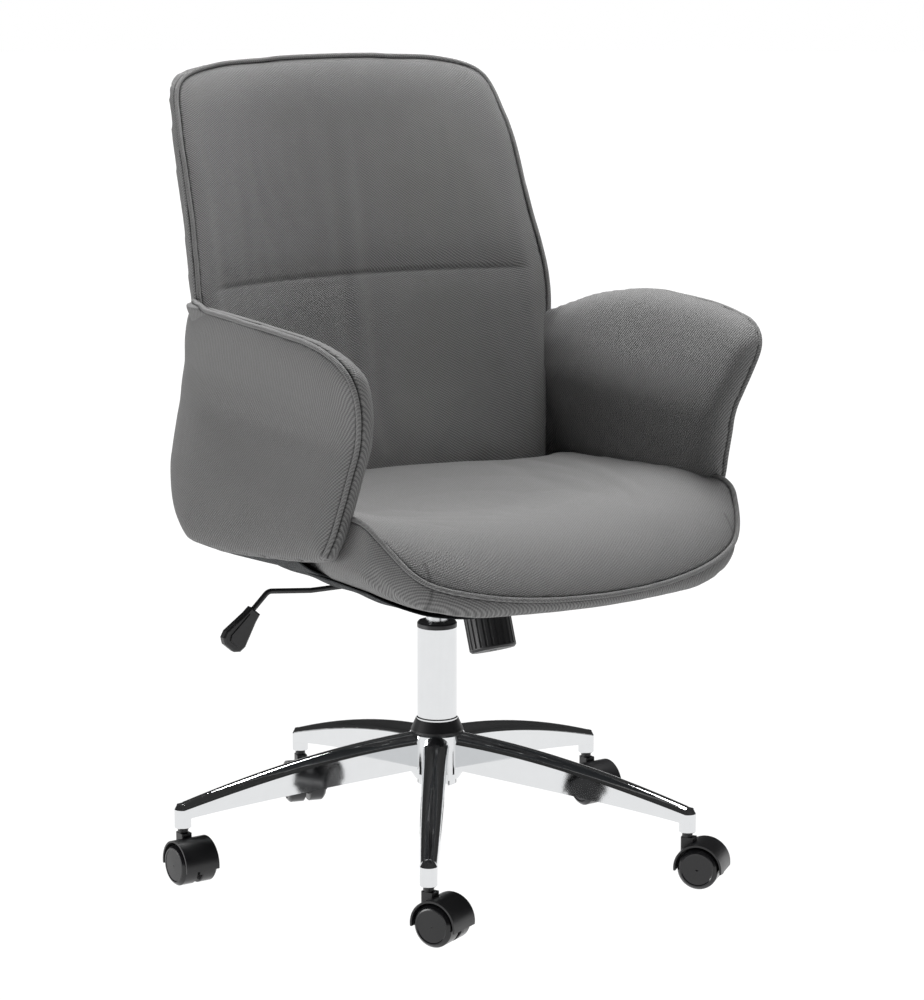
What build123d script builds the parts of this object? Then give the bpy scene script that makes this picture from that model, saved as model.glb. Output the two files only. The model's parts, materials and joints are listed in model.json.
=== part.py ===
from build123d import *
from math import cos, radians, sin, sqrt, tan
import os

# Upholstered swivel office chair, in millimetres.
# +Z is up, the sitter faces -Y, and the origin is under the column's axis. Heights in this file start from
# a level below the floor, and each part is lowered by FLOOR when it is saved, which puts the floor at zero.
FLOOR = 6.2

# Star base
LEG_COUNT = 5
LEG_SPACING = 360 / LEG_COUNT
FIRST_LEG_AZIMUTH = 20.28
STEM_CIRCLE = 327.7
HUB_RADIUS = 34.5
HUB_BOTTOM = 112.0
HUB_TOP = 172.0
COLLAR_HEIGHT = 16.0
COLLAR_RADIUS = 33.0
LEG_WALL = 2.0
LEG_TIP_WIDTH = 21.0
LEG_TIP_TOP = 104.0
LEG_TIP_BOTTOM = 84.0
# Leg from hub to tip: distance from the column, width, top and bottom.
LEG_STATIONS = (
    (20, 33.0, 173.0, 128.0),
    (150, 29.5, 153.5, 111.5),
    (250, 26.0, 128.5, 97.5),
    (STEM_CIRCLE, LEG_TIP_WIDTH, LEG_TIP_TOP, LEG_TIP_BOTTOM),
)
SOCKET_RADIUS = 10.5
SOCKET_BOTTOM = 72.0
SOCKET_SPIGOT_RADIUS = 8.5
SOCKET_TOP = 98.0

# Twin-wheel casters
CASTER_HEADINGS = (-87.0, -104.0, -88.0, -64.0, -51.0)
WHEEL_RADIUS = 25.5
WHEEL_CENTRE = FLOOR + WHEEL_RADIUS
CASTER_TRAIL = 19.0
CASTER_WIDTH = 50.0
HOOD_RADIUS = 30.5
HOOD_WALL = 2.4
HOOD_WIDTH = 46.0
WEB_THICKNESS = 6.0
STEM_RADIUS = 5.45
NECK_WIDTH = 14.0
NECK_TOP = 66.0
STEM_BOTTOM = 54.0
AXLE_RADIUS = 3.0
RUNNING_GAP = 0.05

# Gas lift
COLUMN_RADIUS = 25.0
COLUMN_WALL = 1.5
COLUMN_BOTTOM = 105.0
COLUMN_TOP = 306.0
BUSH_TOP = 313.0
CYLINDER_RADIUS = 14.0
CYLINDER_BOTTOM = 125.0
CYLINDER_TOP = 374.0
CHAMBER_RADIUS = 12.5
CAP_HEIGHT = 10.0
VALVE_DEPTH = 18.0
TAPER_START = 342.0
TAPER_TOP_RADIUS = 13.0
ROD_RADIUS = 5.0
ROD_BOTTOM = 99.0
PISTON_BOTTOM = 236.0
PISTON_TOP = 246.0
BUSH_LENGTH = 125.0
FLOOR_THICKNESS = 4.0
FLOOR_HOLE_RADIUS = 6.0

# Tilt mechanism. The nose is the sloping front of the housing, where the tilt spring presses.
HOUSING_HALF_WIDTH = 48.5
HOUSING_FLOOR = 344.0
SHEET = 3.0
NOSE_SLOPE = 20.0
NOSE_END = -142.0
NOSE_START = -50.0
HOUSING_TAIL = 38.0
WALL_TOP = 386.0
TAIL_TOP = 374.0
BOSS_RADIUS = 18.0
BOSS_HEIGHT = 28.0
AXLE_Y = -38.0
AXLE_Z = 372.0
TILT_AXLE_RADIUS = 5.0
AXLE_REACH = 58.0
PLATE_BOTTOM = 393.0
PLATE_FRONT = -142.0
PLATE_REAR = 90.0
PLATE_HALF_WIDTH = 95.0
SEAT_BOLT_X = 80.0
SEAT_BOLT_ROWS = (-110.0, 75.0)
SEAT_BOLT_RADIUS = 3.0
KNOB_RADIUS = 29.0
KNOB_HEIGHT = 50.0
KNOB_WALL = 5.0
KNOB_FLOOR = 7.0
KNOB_GROOVES = 24
KNOB_CENTRE = (0.0, -120.95, 325.37)
BOLT_SEAT = 103.8
BOLT_HEAD_RADIUS = 9.0
BOLT_HOLE_RADIUS = 11.5
SPRING_RADIUS = 16.0
SPRING_WIRE = 2.0
SPRING_TURNS = 6
SPRING_REACH = 13.8
LEVER_Y = -15.0
LEVER_Z = 377.0
LEVER_RADIUS = 3.25
LEVER_BEND = 11.0
LEVER_ROUTE = ((-20, 377), (-190, 377), (-249, 383), (-271, 362), (-282, 349))
PADDLE_START = (-268.5, 362)
PADDLE_DIRECTION = (-40, -46)
PADDLE_THICKNESS = 12.0
PADDLE_HALF = ((8, 0), (9.5, 11), (17, 42), (15, 50.5), (8, 55.5))
PADDLE_PANEL_HALF = ((5, 8), (9, 42), (6, 48))
YOKE_PIVOT_X = -34.0
YOKE_HALF = 8.0
EAR_GAP = 9.0
BUTTON_RADIUS = 4.0

# Upholstered shell
SEAT_UNDERSIDE = 396.0
BOARD_THICKNESS = 12.0
PIPING_RADIUS = 2.8
CLEAR = 0.4
BOARD_HALF_WIDTH = 150.0
BOARD_FRONT = -290.0
BOARD_REAR = 200.0

# Half of the seat, from its middle outwards: distance from the middle, front edge, welt height,
# underside height, crest height, height of the dished middle, rear edge and height of the rear edge.
SEAT_STATIONS = (
    (0, -370, 415, 398.5, 480, 468, 157, 482),
    (140, -352, 424, 399, 486, 472, 132, 483),
    (215, -318, 443, 411, 500, 490, 96, 487),
    (244, -262, 500, 440, 511, 504, 87, 494),
)

# Back cushion, from the seat upwards: height, half width, side edge, middle and padding depth.
BACK_STATIONS = (
    (409, 226, 94, 158, 40),
    (485, 228, 95, 159, 40),
    (600, 231, 105, 180, 40),
    (660, 238, 115, 190, 40),
    (715, 252, 127, 200, 40),
    (820, 243, 164, 219, 40),
    (900, 239, 195, 233, 38),
    (950, 231, 222, 241, 32),
    (980, 212, 239, 248, 22),
    (996, 160, 250, 254, 12),
)

# Rear panel: height, half width, front and rear at the sides, front and rear at the middle.
REAR_STATIONS = (
    (409, 205, 130, 165, 208, 226),
    (600, 212, 142, 187, 230, 262),
    (690, 225, 150, 180, 246, 277),
    (730, 264, 142, 172, 254, 283),
    (820, 252, 173, 195, 270, 296),
    (900, 247, 204, 222, 284, 306),
    (950, 240, 230, 247, 291, 312),
    (985, 214, 253, 271, 291, 313),
    (1003, 150, 270, 296, 276, 305),
)

# Outline of an arm seen from the side: distance behind the column, lowest and highest point.
ARM_STATIONS = (
    (-277, 656, 681),
    (-266, 620, 688),
    (-250, 580, 697),
    (-222, 502, 706),
    (-205, 465, 710),
    (-150, 451, 715),
    (-50, 440, 718),
    (40, 434, 718),
    (100, 434, 704),
    (140, 437, 650),
    (178, 455, 580),
    (195, 478, 510),
)
ARM_THICKNESS = 32.0
PANEL_THICKNESS = 8.0
PANEL_DEPTH = 6.0
PANEL_INSET = 6.0
PANEL_CLEARANCE = 1.6
ARM_WAIST = 590.0
REAR_PANEL_GAP = 4.0

# Half of each welt, from the side to the middle.
SEAT_WELT = ((-248, -242, 512), (-249, -263, 503), (-219, -323, 446), (-141, -356.5, 426), (0, -374.5, 417))
BACK_WELT = (
    (-258, 136, 730),
    (-250, 167.5, 820),
    (-246, 199, 900),
    (-238, 225.5, 950),
    (-222, 243, 980),
    (-160, 262, 1000),
    (0, 266.5, 1001),
)

# Half of the dust cover: distance from the middle, front edge, rear edge and height of its top.
COVER_STATIONS = ((0, -335, 150, 395.7), (155, -318, 150, 395.7), (215, -285, 86, 408), (243, -232, 86, 437))
COVER_THICKNESS = 2.5
COVER_WINDOW = ((-97, -144), (97, 92))


def save(node, *solids):
    """Write one node as a STEP file, with the floor at zero height; several solids make a group."""
    lowered = [Pos(0, 0, -FLOOR) * solid for solid in solids]
    shape = lowered[0] if len(lowered) == 1 else Compound(children=lowered)
    export_step(shape, f"parts/{node}.step")


def turned(*outline):
    """Solid of revolution about Z from (radius, height) corners."""
    face = make_face(Plane.XZ * Polyline(*outline, close=True))
    return revolve(face, Axis.Z)


def post(radius, low, high):
    """Round bar on the Z axis between two heights."""
    return Pos(0, 0, low) * Cylinder(radius, high - low, align=(Align.CENTER, Align.CENTER, Align.MIN))


def bar(radius, start, end):
    """Round bar between two points."""
    start, end = Vector(*start), Vector(*end)
    along = end - start
    ends = (Align.CENTER, Align.CENTER, Align.MIN)
    return Plane(origin=start, z_dir=along) * Cylinder(radius, along.length, align=ends)


def block(low, high):
    """Box between its lowest and highest corners."""
    size = [b - a for a, b in zip(low, high)]
    return Pos(*low) * Box(*size, align=(Align.MIN, Align.MIN, Align.MIN))


def side_plate(outline, half_width):
    """Prism of a (y, z) outline, from -half_width to +half_width along X."""
    face = make_face(Plane.YZ.offset(-half_width) * Polyline(*outline, close=True))
    return extrude(face, 2 * half_width, dir=(1, 0, 0))


def pipe(points, radius, bend):
    """Round cord along straight runs joined by arcs."""
    path = FilletPolyline(*points, radius=bend)
    profile = Plane(origin=path @ 0, z_dir=path % 0) * Circle(radius)
    return sweep(profile, path)


def mirrored(points):
    """Points of a left half, followed by their mirror images on the right."""
    return list(points) + [(-x, y, z) for x, y, z in reversed(points) if x != 0]


# ---------------------------------------------------------------- star base


def leg_azimuth(index):
    return FIRST_LEG_AZIMUTH + LEG_SPACING * index


def leg_section(radius, width, top, bottom):
    """Arch-topped cross-section of a leg at this distance from the column."""
    half = width / 2
    shoulder = top - 0.8 * half
    arch = ThreePointArc((half, shoulder), (0, top), (-half, shoulder))
    sides = Polyline((-half, shoulder), (-half, bottom), (half, bottom), (half, shoulder))
    plane = Plane(origin=(radius, 0, 0), x_dir=(0, 1, 0), z_dir=(1, 0, 0))
    return plane * make_face([arch, sides])


def leg():
    """Pressed-steel leg along +X, bowed, open underneath, with a rounded tip over the socket."""
    outside = loft([leg_section(*station) for station in LEG_STATIONS])
    half = LEG_TIP_WIDTH / 2
    shoulder = LEG_TIP_TOP - 0.8 * half
    end = turned((0, LEG_TIP_BOTTOM), (half, LEG_TIP_BOTTOM), (half, shoulder),
                 (0.7 * half, shoulder + 0.57 * half), (0, LEG_TIP_TOP))
    core = loft([leg_section(radius, width - 2 * LEG_WALL, top - LEG_WALL, bottom - 5)
                 for radius, width, top, bottom in LEG_STATIONS])
    core -= Pos(STEM_CIRCLE - 16, 0, 0) * block((0, -20, 0), (60, 20, 200))
    bore = turned((0, LEG_TIP_BOTTOM - 1), (SOCKET_SPIGOT_RADIUS, LEG_TIP_BOTTOM - 1),
                  (SOCKET_SPIGOT_RADIUS, SOCKET_TOP), (0, SOCKET_TOP))
    hub_bite = Pos(0, 0, 140) * Cylinder(HUB_RADIUS, 120)
    return outside + Pos(STEM_CIRCLE, 0, 0) * end - core - Pos(STEM_CIRCLE, 0, 0) * bore - hub_bite


def socket():
    """Stem socket: a visible tube, and a spigot that is welded inside the leg's tip."""
    bore = STEM_RADIUS + RUNNING_GAP
    return Pos(STEM_CIRCLE, 0, 0) * turned(
        (bore, SOCKET_BOTTOM), (SOCKET_RADIUS - 0.8, SOCKET_BOTTOM), (SOCKET_RADIUS, SOCKET_BOTTOM + 0.8),
        (SOCKET_RADIUS, LEG_TIP_BOTTOM), (SOCKET_SPIGOT_RADIUS, LEG_TIP_BOTTOM),
        (SOCKET_SPIGOT_RADIUS, SOCKET_TOP), (0, SOCKET_TOP), (0, SOCKET_TOP - 1), (bore, SOCKET_TOP - 1))


def base_hub():
    return turned((COLUMN_RADIUS, HUB_BOTTOM), (HUB_RADIUS - 6, HUB_BOTTOM), (HUB_RADIUS, HUB_BOTTOM + 9),
                  (HUB_RADIUS, HUB_TOP - 2), (HUB_RADIUS - 1.5, HUB_TOP), (COLUMN_RADIUS, HUB_TOP))


def hub_collar():
    top = HUB_TOP + COLLAR_HEIGHT
    return turned((COLUMN_RADIUS, HUB_TOP), (COLLAR_RADIUS, HUB_TOP), (COLLAR_RADIUS, HUB_TOP + 2.5),
                  (COLUMN_RADIUS + 2, top), (COLUMN_RADIUS, top))


def save_base():
    turns = [Rot(0, 0, leg_azimuth(index)) for index in range(LEG_COUNT)]
    for index, turn in enumerate(turns):
        save(f"leg_{index + 1}", turn * leg())
    save("caster_sockets", *[turn * socket() for turn in turns])
    save("base_hub", base_hub())
    save("hub_collar", hub_collar())


# ------------------------------------------------------------------ casters


def below(height):
    """Large block under a height, round the wheels' axle."""
    return Pos(CASTER_TRAIL, 0, height) * Box(80, 60, 80, align=(Align.CENTER, Align.CENTER, Align.MAX))


def caster_hood():
    """Drum-shaped hood over both wheels, a web between them, and a neck that holds the stem.

    The stem is on Z, and the wheels trail along +X with their axle along Y.
    """
    inner = HOOD_RADIUS - HOOD_WALL
    lie_down = Pos(CASTER_TRAIL, 0, WHEEL_CENTRE) * Rot(90, 0, 0)
    drum = lie_down * (Cylinder(HOOD_RADIUS, HOOD_WIDTH) - Cylinder(inner, HOOD_WIDTH + 2))
    web = lie_down * Cylinder(inner + 0.5, WEB_THICKNESS)
    half = NECK_WIDTH / 2
    neck = block((-half, -half, WHEEL_CENTRE + 8), (half + 4, half, NECK_TOP))
    neck = fillet(neck.edges().filter_by(Axis.Z), 2.5)
    neck += post(6.5, NECK_TOP - 8, SOCKET_BOTTOM - CLEAR)
    wheel_room = lie_down * (Cylinder(inner, CASTER_WIDTH) - Cylinder(inner + 1, WEB_THICKNESS))
    shell = (drum - below(WHEEL_CENTRE - 4)) + (web - below(WHEEL_CENTRE - 9)) + (neck - wheel_room)
    return shell - post(STEM_RADIUS, STEM_BOTTOM, 106) - lie_down * Cylinder(AXLE_RADIUS, CASTER_WIDTH)


def caster_stem():
    return turned((0, STEM_BOTTOM), (STEM_RADIUS, STEM_BOTTOM), (STEM_RADIUS, SOCKET_TOP - 3),
                  (STEM_RADIUS - 1, SOCKET_TOP - 2), (0, SOCKET_TOP - 2))


def caster_axle():
    return Pos(CASTER_TRAIL, 0, WHEEL_CENTRE) * Rot(90, 0, 0) * Cylinder(AXLE_RADIUS, CASTER_WIDTH - 12)


def caster_wheel(side):
    """Nylon wheel with a bevelled glossy disc outside; side is +1 or -1 along Y."""
    inside = WEB_THICKNESS / 2 + 0.5
    outside = CASTER_WIDTH / 2
    bore = AXLE_RADIUS + RUNNING_GAP
    pin_end = CASTER_WIDTH / 2 - 6 + 0.5
    r = WHEEL_RADIUS
    wheel = turned((bore, inside), (r - 1, inside), (r, inside + 1), (r, outside - 4.2),
                   (r - 1.2, outside - 2.6), (r - 3.6, outside - 0.4), (r - 5.2, outside),
                   (r - 6.4, outside - 0.8), (0, outside - 0.4),
                   (0, pin_end), (bore, pin_end))
    return Pos(CASTER_TRAIL, 0, WHEEL_CENTRE) * Rot(-90 * side, 0, 0) * wheel


def save_casters():
    for index, heading in enumerate(CASTER_HEADINGS):
        azimuth = radians(leg_azimuth(index))
        stem_x = STEM_CIRCLE * cos(azimuth)
        stem_y = STEM_CIRCLE * sin(azimuth)
        place = Pos(stem_x, stem_y, 0) * Rot(0, 0, heading)
        name = f"caster_{index + 1}"
        save(f"{name}_hood", place * caster_hood())
        save(f"{name}_pins", place * caster_stem(), place * caster_axle())
        save(f"{name}_wheel_a", place * caster_wheel(1))
        save(f"{name}_wheel_b", place * caster_wheel(-1))


# ----------------------------------------------------------------- gas lift


def column_tube():
    """Chrome column, pressed into the hub, with a floor that carries the piston rod."""
    inner = COLUMN_RADIUS - COLUMN_WALL
    floor_top = COLUMN_BOTTOM + FLOOR_THICKNESS
    lip = HUB_TOP + COLLAR_HEIGHT
    return turned((FLOOR_HOLE_RADIUS, COLUMN_BOTTOM), (COLUMN_RADIUS, COLUMN_BOTTOM), (COLUMN_RADIUS, lip),
                  (COLUMN_RADIUS + 1.2, lip), (COLUMN_RADIUS + 1.2, lip + 2), (COLUMN_RADIUS, lip + 3.5),
                  (COLUMN_RADIUS, COLUMN_TOP), (inner, COLUMN_TOP), (inner, floor_top),
                  (FLOOR_HOLE_RADIUS, floor_top))


def column_guide_bush():
    """Plastic sleeve inside the column, with a rim on top, that guides the pressure tube."""
    inner = COLUMN_RADIUS - COLUMN_WALL
    bore = CYLINDER_RADIUS + RUNNING_GAP
    low = COLUMN_TOP - BUSH_LENGTH
    return turned((bore, low), (inner, low), (inner, COLUMN_TOP), (COLUMN_RADIUS, COLUMN_TOP),
                  (COLUMN_RADIUS, BUSH_TOP - 2), (COLUMN_RADIUS - 1.5, BUSH_TOP), (bore, BUSH_TOP))


def piston_rod():
    """Rod that hangs in the column's floor, with the piston at its top."""
    piston_radius = CHAMBER_RADIUS - RUNNING_GAP
    return turned((0, ROD_BOTTOM), (ROD_RADIUS, ROD_BOTTOM), (ROD_RADIUS, PISTON_BOTTOM),
                  (piston_radius, PISTON_BOTTOM), (piston_radius, PISTON_TOP), (0, PISTON_TOP))


def thrust_bearing():
    """Flat ring on the column's floor that the rod and the pressure tube turn on."""
    low = COLUMN_BOTTOM + FLOOR_THICKNESS + 0.1
    return turned((ROD_RADIUS, low), (14, low), (14, low + 6), (ROD_RADIUS, low + 6))


def column_end_clip():
    """Clip on the rod's end, under the column's floor."""
    top = COLUMN_BOTTOM - CLEAR
    return turned((ROD_RADIUS, top - 3), (9.5, top - 3), (9.5, top), (ROD_RADIUS, top))


def gas_cylinder():
    """Pressure tube with its end cap, gas chamber, top taper and valve bore."""
    rod_bore = ROD_RADIUS + RUNNING_GAP
    valve_bore = BUTTON_RADIUS + RUNNING_GAP
    valve_floor = CYLINDER_TOP - VALVE_DEPTH
    chamber_top = TAPER_START + 2
    cap_top = CYLINDER_BOTTOM + CAP_HEIGHT
    return turned((rod_bore, CYLINDER_BOTTOM), (CYLINDER_RADIUS, CYLINDER_BOTTOM),
                  (CYLINDER_RADIUS, TAPER_START), (TAPER_TOP_RADIUS, CYLINDER_TOP),
                  (valve_bore, CYLINDER_TOP), (valve_bore, valve_floor),
                  (0, valve_floor), (0, chamber_top), (CHAMBER_RADIUS, chamber_top),
                  (CHAMBER_RADIUS, cap_top), (rod_bore, cap_top))


def valve_button():
    """Domed pin at the cylinder's top that opens the gas valve."""
    return post(BUTTON_RADIUS, CYLINDER_TOP - 12, LEVER_Z) + Pos(0, 0, LEVER_Z) * Sphere(BUTTON_RADIUS)


def save_gas_lift():
    save("column_tube", column_tube())
    save("column_guide_bush", column_guide_bush())
    save("piston_rod", piston_rod())
    save("thrust_bearing", thrust_bearing())
    save("column_end_clip", column_end_clip())
    save("gas_cylinder", gas_cylinder())
    save("valve_button", valve_button())


# ---------------------------------------------------------- tilt mechanism


def along_knob(distance):
    """Point on the tension bolt's axis, this far above the knob's underside."""
    lean = radians(NOSE_SLOPE)
    x, y, z = KNOB_CENTRE
    reach = distance - KNOB_HEIGHT / 2
    return (x, y + reach * sin(lean), z + reach * cos(lean))


def knob_plane(distance):
    lean = radians(NOSE_SLOPE)
    return Plane(origin=along_knob(distance), x_dir=(1, 0, 0), z_dir=(0, sin(lean), cos(lean)))


def mechanism_channel():
    """Open-topped steel channel with a sloping nose, and a lug in front that stops the tilt."""
    rise = tan(radians(NOSE_SLOPE))
    nose_low = HOUSING_FLOOR + (NOSE_START - NOSE_END) * rise
    stop_top = PLATE_BOTTOM - 0.3
    outline = [(NOSE_END, nose_low), (NOSE_END, stop_top), (NOSE_END + 12, stop_top),
               (NOSE_END + 16, WALL_TOP), (AXLE_Y, WALL_TOP),
               (HOUSING_TAIL, TAIL_TOP), (HOUSING_TAIL, HOUSING_FLOOR),
               (NOSE_START, HOUSING_FLOOR)]
    lift = SHEET / cos(radians(NOSE_SLOPE))
    above = PLATE_BOTTOM + 20
    bend = NOSE_START + (lift - SHEET) / rise
    inside = [(NOSE_END + SHEET, nose_low - SHEET * rise + lift), (NOSE_END + SHEET, above),
              (HOUSING_TAIL - SHEET, above), (HOUSING_TAIL - SHEET, HOUSING_FLOOR + SHEET),
              (bend, HOUSING_FLOOR + SHEET)]
    return side_plate(outline, HOUSING_HALF_WIDTH) - side_plate(inside, HOUSING_HALF_WIDTH - SHEET)


def yoke_ears():
    """Two ears that carry the release yoke's trunnions."""
    low = (YOKE_PIVOT_X - YOKE_HALF, 0, HOUSING_FLOOR + SHEET)
    high = (YOKE_PIVOT_X + YOKE_HALF, SHEET, LEVER_Z + 6)
    ear = block(low, high)
    return Pos(0, LEVER_Y + EAR_GAP, 0) * ear + Pos(0, LEVER_Y - EAR_GAP - SHEET, 0) * ear


def cylinder_taper(low, high):
    """Solid that the pressure tube's taper fits, from low to high."""
    slope = (CYLINDER_RADIUS - TAPER_TOP_RADIUS) / (CYLINDER_TOP - TAPER_START)
    return turned((0, low), (CYLINDER_RADIUS - slope * (low - TAPER_START), low),
                  (CYLINDER_RADIUS - slope * (high - TAPER_START), high), (0, high))


def mechanism_housing():
    """Sheet-steel channel with the gas-lift socket, a sloping nose and ears for the release yoke."""
    boss = post(BOSS_RADIUS, HOUSING_FLOOR, HOUSING_FLOOR + BOSS_HEIGHT)
    housing = mechanism_channel() + boss + yoke_ears()
    housing -= cylinder_taper(HOUSING_FLOOR - 4, HOUSING_FLOOR + BOSS_HEIGHT + 4)
    housing -= bar(TILT_AXLE_RADIUS, (-AXLE_REACH, AXLE_Y, AXLE_Z), (AXLE_REACH, AXLE_Y, AXLE_Z))
    trunnion_reach = EAR_GAP + SHEET + 2
    housing -= bar(AXLE_RADIUS + RUNNING_GAP, (YOKE_PIVOT_X, LEVER_Y - trunnion_reach, LEVER_Z),
                   (YOKE_PIVOT_X, LEVER_Y + trunnion_reach, LEVER_Z))
    lever_slot = block((-HOUSING_HALF_WIDTH - 3, LEVER_Y - 6, LEVER_Z - 7),
                       (-HOUSING_HALF_WIDTH + 6, LEVER_Y + 6, WALL_TOP + 14))
    bolt_hole = bar(BOLT_HOLE_RADIUS, along_knob(KNOB_HEIGHT + 5), along_knob(KNOB_HEIGHT + 40))
    return housing - lever_slot - bolt_hole


def tilt_axle():
    """Pin across the housing, with a flat head at each end."""
    shaft = bar(TILT_AXLE_RADIUS, (-AXLE_REACH, AXLE_Y, AXLE_Z), (AXLE_REACH, AXLE_Y, AXLE_Z))
    for side in (-1, 1):
        shaft += bar(8, (side * (AXLE_REACH - 3), AXLE_Y, AXLE_Z), (side * AXLE_REACH, AXLE_Y, AXLE_Z))
    return shaft


def release_yoke():
    """Rocking yoke: the lever rod slides through it, and its finger lies over the valve button."""
    x, y = YOKE_PIVOT_X, LEVER_Y
    half_depth = EAR_GAP - 0.5
    finger_low, finger_high = LEVER_Z + BUTTON_RADIUS + 0.4, LEVER_Z + 9
    body = block((x - YOKE_HALF, y - half_depth, LEVER_Z - 7),
                 (x + YOKE_HALF, y + half_depth, LEVER_Z + 7))
    finger = block((x - 4, y - 5, finger_low), (BUTTON_RADIUS, y + 5, finger_high))
    finger += block((-BUTTON_RADIUS, y - 5, finger_low), (BUTTON_RADIUS, 5, finger_high))
    trunnions = bar(AXLE_RADIUS, (x, y - 13, LEVER_Z), (x, y + 13, LEVER_Z))
    bore = bar(LEVER_RADIUS + RUNNING_GAP, (x - 20, y, LEVER_Z), (x + 20, y, LEVER_Z))
    return body + finger + trunnions - bore


def lever_rod():
    return pipe([(x, LEVER_Y, z) for x, z in LEVER_ROUTE], LEVER_RADIUS, LEVER_BEND)


def lever_handle():
    """Paddle that widens towards its rounded end, with a raised panel on its face."""
    x, z = PADDLE_START
    along = Vector(PADDLE_DIRECTION[0], 0, PADDLE_DIRECTION[1]).normalized()
    across = Vector(along.Z, 0, -along.X)
    plane = Plane(origin=(x, LEVER_Y, z), x_dir=across, z_dir=(0, -1, 0))
    reach = -1 if plane.y_dir.dot(along) < 0 else 1

    def symmetric(half):
        points = [(-u, reach * v) for u, v in half] + [(u, reach * v) for u, v in reversed(half)]
        return Polyline(*points, close=True)

    paddle = extrude(make_face(plane * symmetric(PADDLE_HALF)), PADDLE_THICKNESS / 2, both=True)
    paddle = chamfer(paddle.edges().group_by(Axis.Y)[0], 2)
    paddle = chamfer(paddle.edges().group_by(Axis.Y)[-1], 2)
    panel = make_face(plane.offset(PADDLE_THICKNESS / 2 - 1) * symmetric(PADDLE_PANEL_HALF))
    return paddle + extrude(panel, 2.6, dir=(0, -1, 0)) - lever_rod()


def tension_knob():
    """Grooved cup that holds the tilt spring and screws onto the tension bolt."""
    cup = chamfer(post(KNOB_RADIUS, 0, KNOB_HEIGHT).edges().group_by(Axis.Z)[0], 2.5)
    cup -= post(KNOB_RADIUS - KNOB_WALL, KNOB_FLOOR, KNOB_HEIGHT + 1)
    groove = Pos(KNOB_RADIUS + 0.4, 0, 0) * post(1.9, 4, KNOB_HEIGHT + 1)
    for index in range(KNOB_GROOVES):
        cup -= Rot(0, 0, 360 / KNOB_GROOVES * index) * groove
    return knob_plane(0) * (cup - post(TILT_AXLE_RADIUS, -1, KNOB_FLOOR + 1))


def tension_bolt():
    """Bolt from the knob, through the housing's nose, to its head on the seat plate."""
    shank = bar(TILT_AXLE_RADIUS, along_knob(1), along_knob(BOLT_SEAT))
    return shank + bar(BOLT_HEAD_RADIUS, along_knob(BOLT_SEAT), along_knob(BOLT_SEAT + 5))


def tension_spring():
    """Coil spring between the knob's floor and the housing's nose."""
    low, high = KNOB_FLOOR + SPRING_WIRE + 0.2, KNOB_HEIGHT + SPRING_REACH
    pitch = (high - low) / SPRING_TURNS
    helix = Helix(pitch=pitch, height=high - low, radius=SPRING_RADIUS)
    wire = sweep(Plane(origin=helix @ 0, z_dir=helix % 0) * Circle(SPRING_WIRE), helix)
    return knob_plane(low) * wire


def seat_plate():
    """Steel plate under the seat, with ears on the tilt axle and a seat for the bolt's head."""
    top = PLATE_BOTTOM + SHEET
    plate = block((-PLATE_HALF_WIDTH, PLATE_FRONT, PLATE_BOTTOM), (PLATE_HALF_WIDTH, PLATE_REAR, top))
    plate -= block((-56, AXLE_Y + 16, PLATE_BOTTOM - 1), (56, 62, top + 1))
    ear = [(AXLE_Y - 20, PLATE_BOTTOM + 1), (AXLE_Y - 11, AXLE_Z - 9), (AXLE_Y + 11, AXLE_Z - 9),
           (AXLE_Y + 16, PLATE_BOTTOM + 1)]
    for side in (-1, 1):
        face = make_face(Plane.YZ.offset(side * (HOUSING_HALF_WIDTH + 2)) * Polyline(*ear, close=True))
        plate += extrude(face, SHEET, dir=(side, 0, 0))
    bolt_boss = bar(12, along_knob(BOLT_SEAT - 14), along_knob(BOLT_SEAT))
    plate += bolt_boss - block((-40, -200, 300), (40, 100, PLATE_BOTTOM))
    plate -= bar(TILT_AXLE_RADIUS + RUNNING_GAP, (-70, AXLE_Y, AXLE_Z), (70, AXLE_Y, AXLE_Z))
    plate -= bar(TILT_AXLE_RADIUS + RUNNING_GAP, along_knob(BOLT_SEAT - 30), along_knob(BOLT_SEAT + 10))
    for x, y in seat_bolt_places():
        plate -= Pos(x, y, 0) * post(SEAT_BOLT_RADIUS, PLATE_BOTTOM - 1, top + 1)
    return plate


def seat_bolt_places():
    return [(x, y) for x in (-SEAT_BOLT_X, SEAT_BOLT_X) for y in SEAT_BOLT_ROWS]


def seat_bolts():
    """Hex bolts up through the seat plate into the seat board."""
    bolt = Pos(0, 0, PLATE_BOTTOM - 4) * extrude(RegularPolygon(6.5, 6), 4)
    bolt += post(SEAT_BOLT_RADIUS, PLATE_BOTTOM, PLATE_BOTTOM + SHEET + 10)
    return [Pos(x, y, 0) * bolt for x, y in seat_bolt_places()]


def save_mechanism():
    save("mechanism_housing", mechanism_housing())
    save("tilt_axle", tilt_axle())
    save("release_yoke", release_yoke())
    save("lever_rod", lever_rod())
    save("lever_handle", lever_handle())
    save("tension_knob", tension_knob())
    save("tension_bolt", tension_bolt())
    save("tension_spring", tension_spring())
    save("seat_plate", seat_plate())
    save("seat_bolts", *seat_bolts())


# ------------------------------------------------------- upholstered shell


def seat_section(x, front, welt, under, crest, dish, rear, rear_top):
    """Side profile of the seat cushion at one distance from the middle."""
    shoulder = welt + 0.62 * (crest - welt)
    outline = [(front + 14, under), (front, welt), (front + 30, shoulder), (front + 100, crest), (-60, dish),
               (rear, rear_top), (rear, under)]
    return make_face(Plane.YZ.offset(x) * Polyline(*outline, close=True))


def full_width(stations):
    """Stations of both halves, from one side to the other."""
    return [(-row[0], *row[1:]) for row in reversed(stations[1:])] + list(stations)


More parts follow.
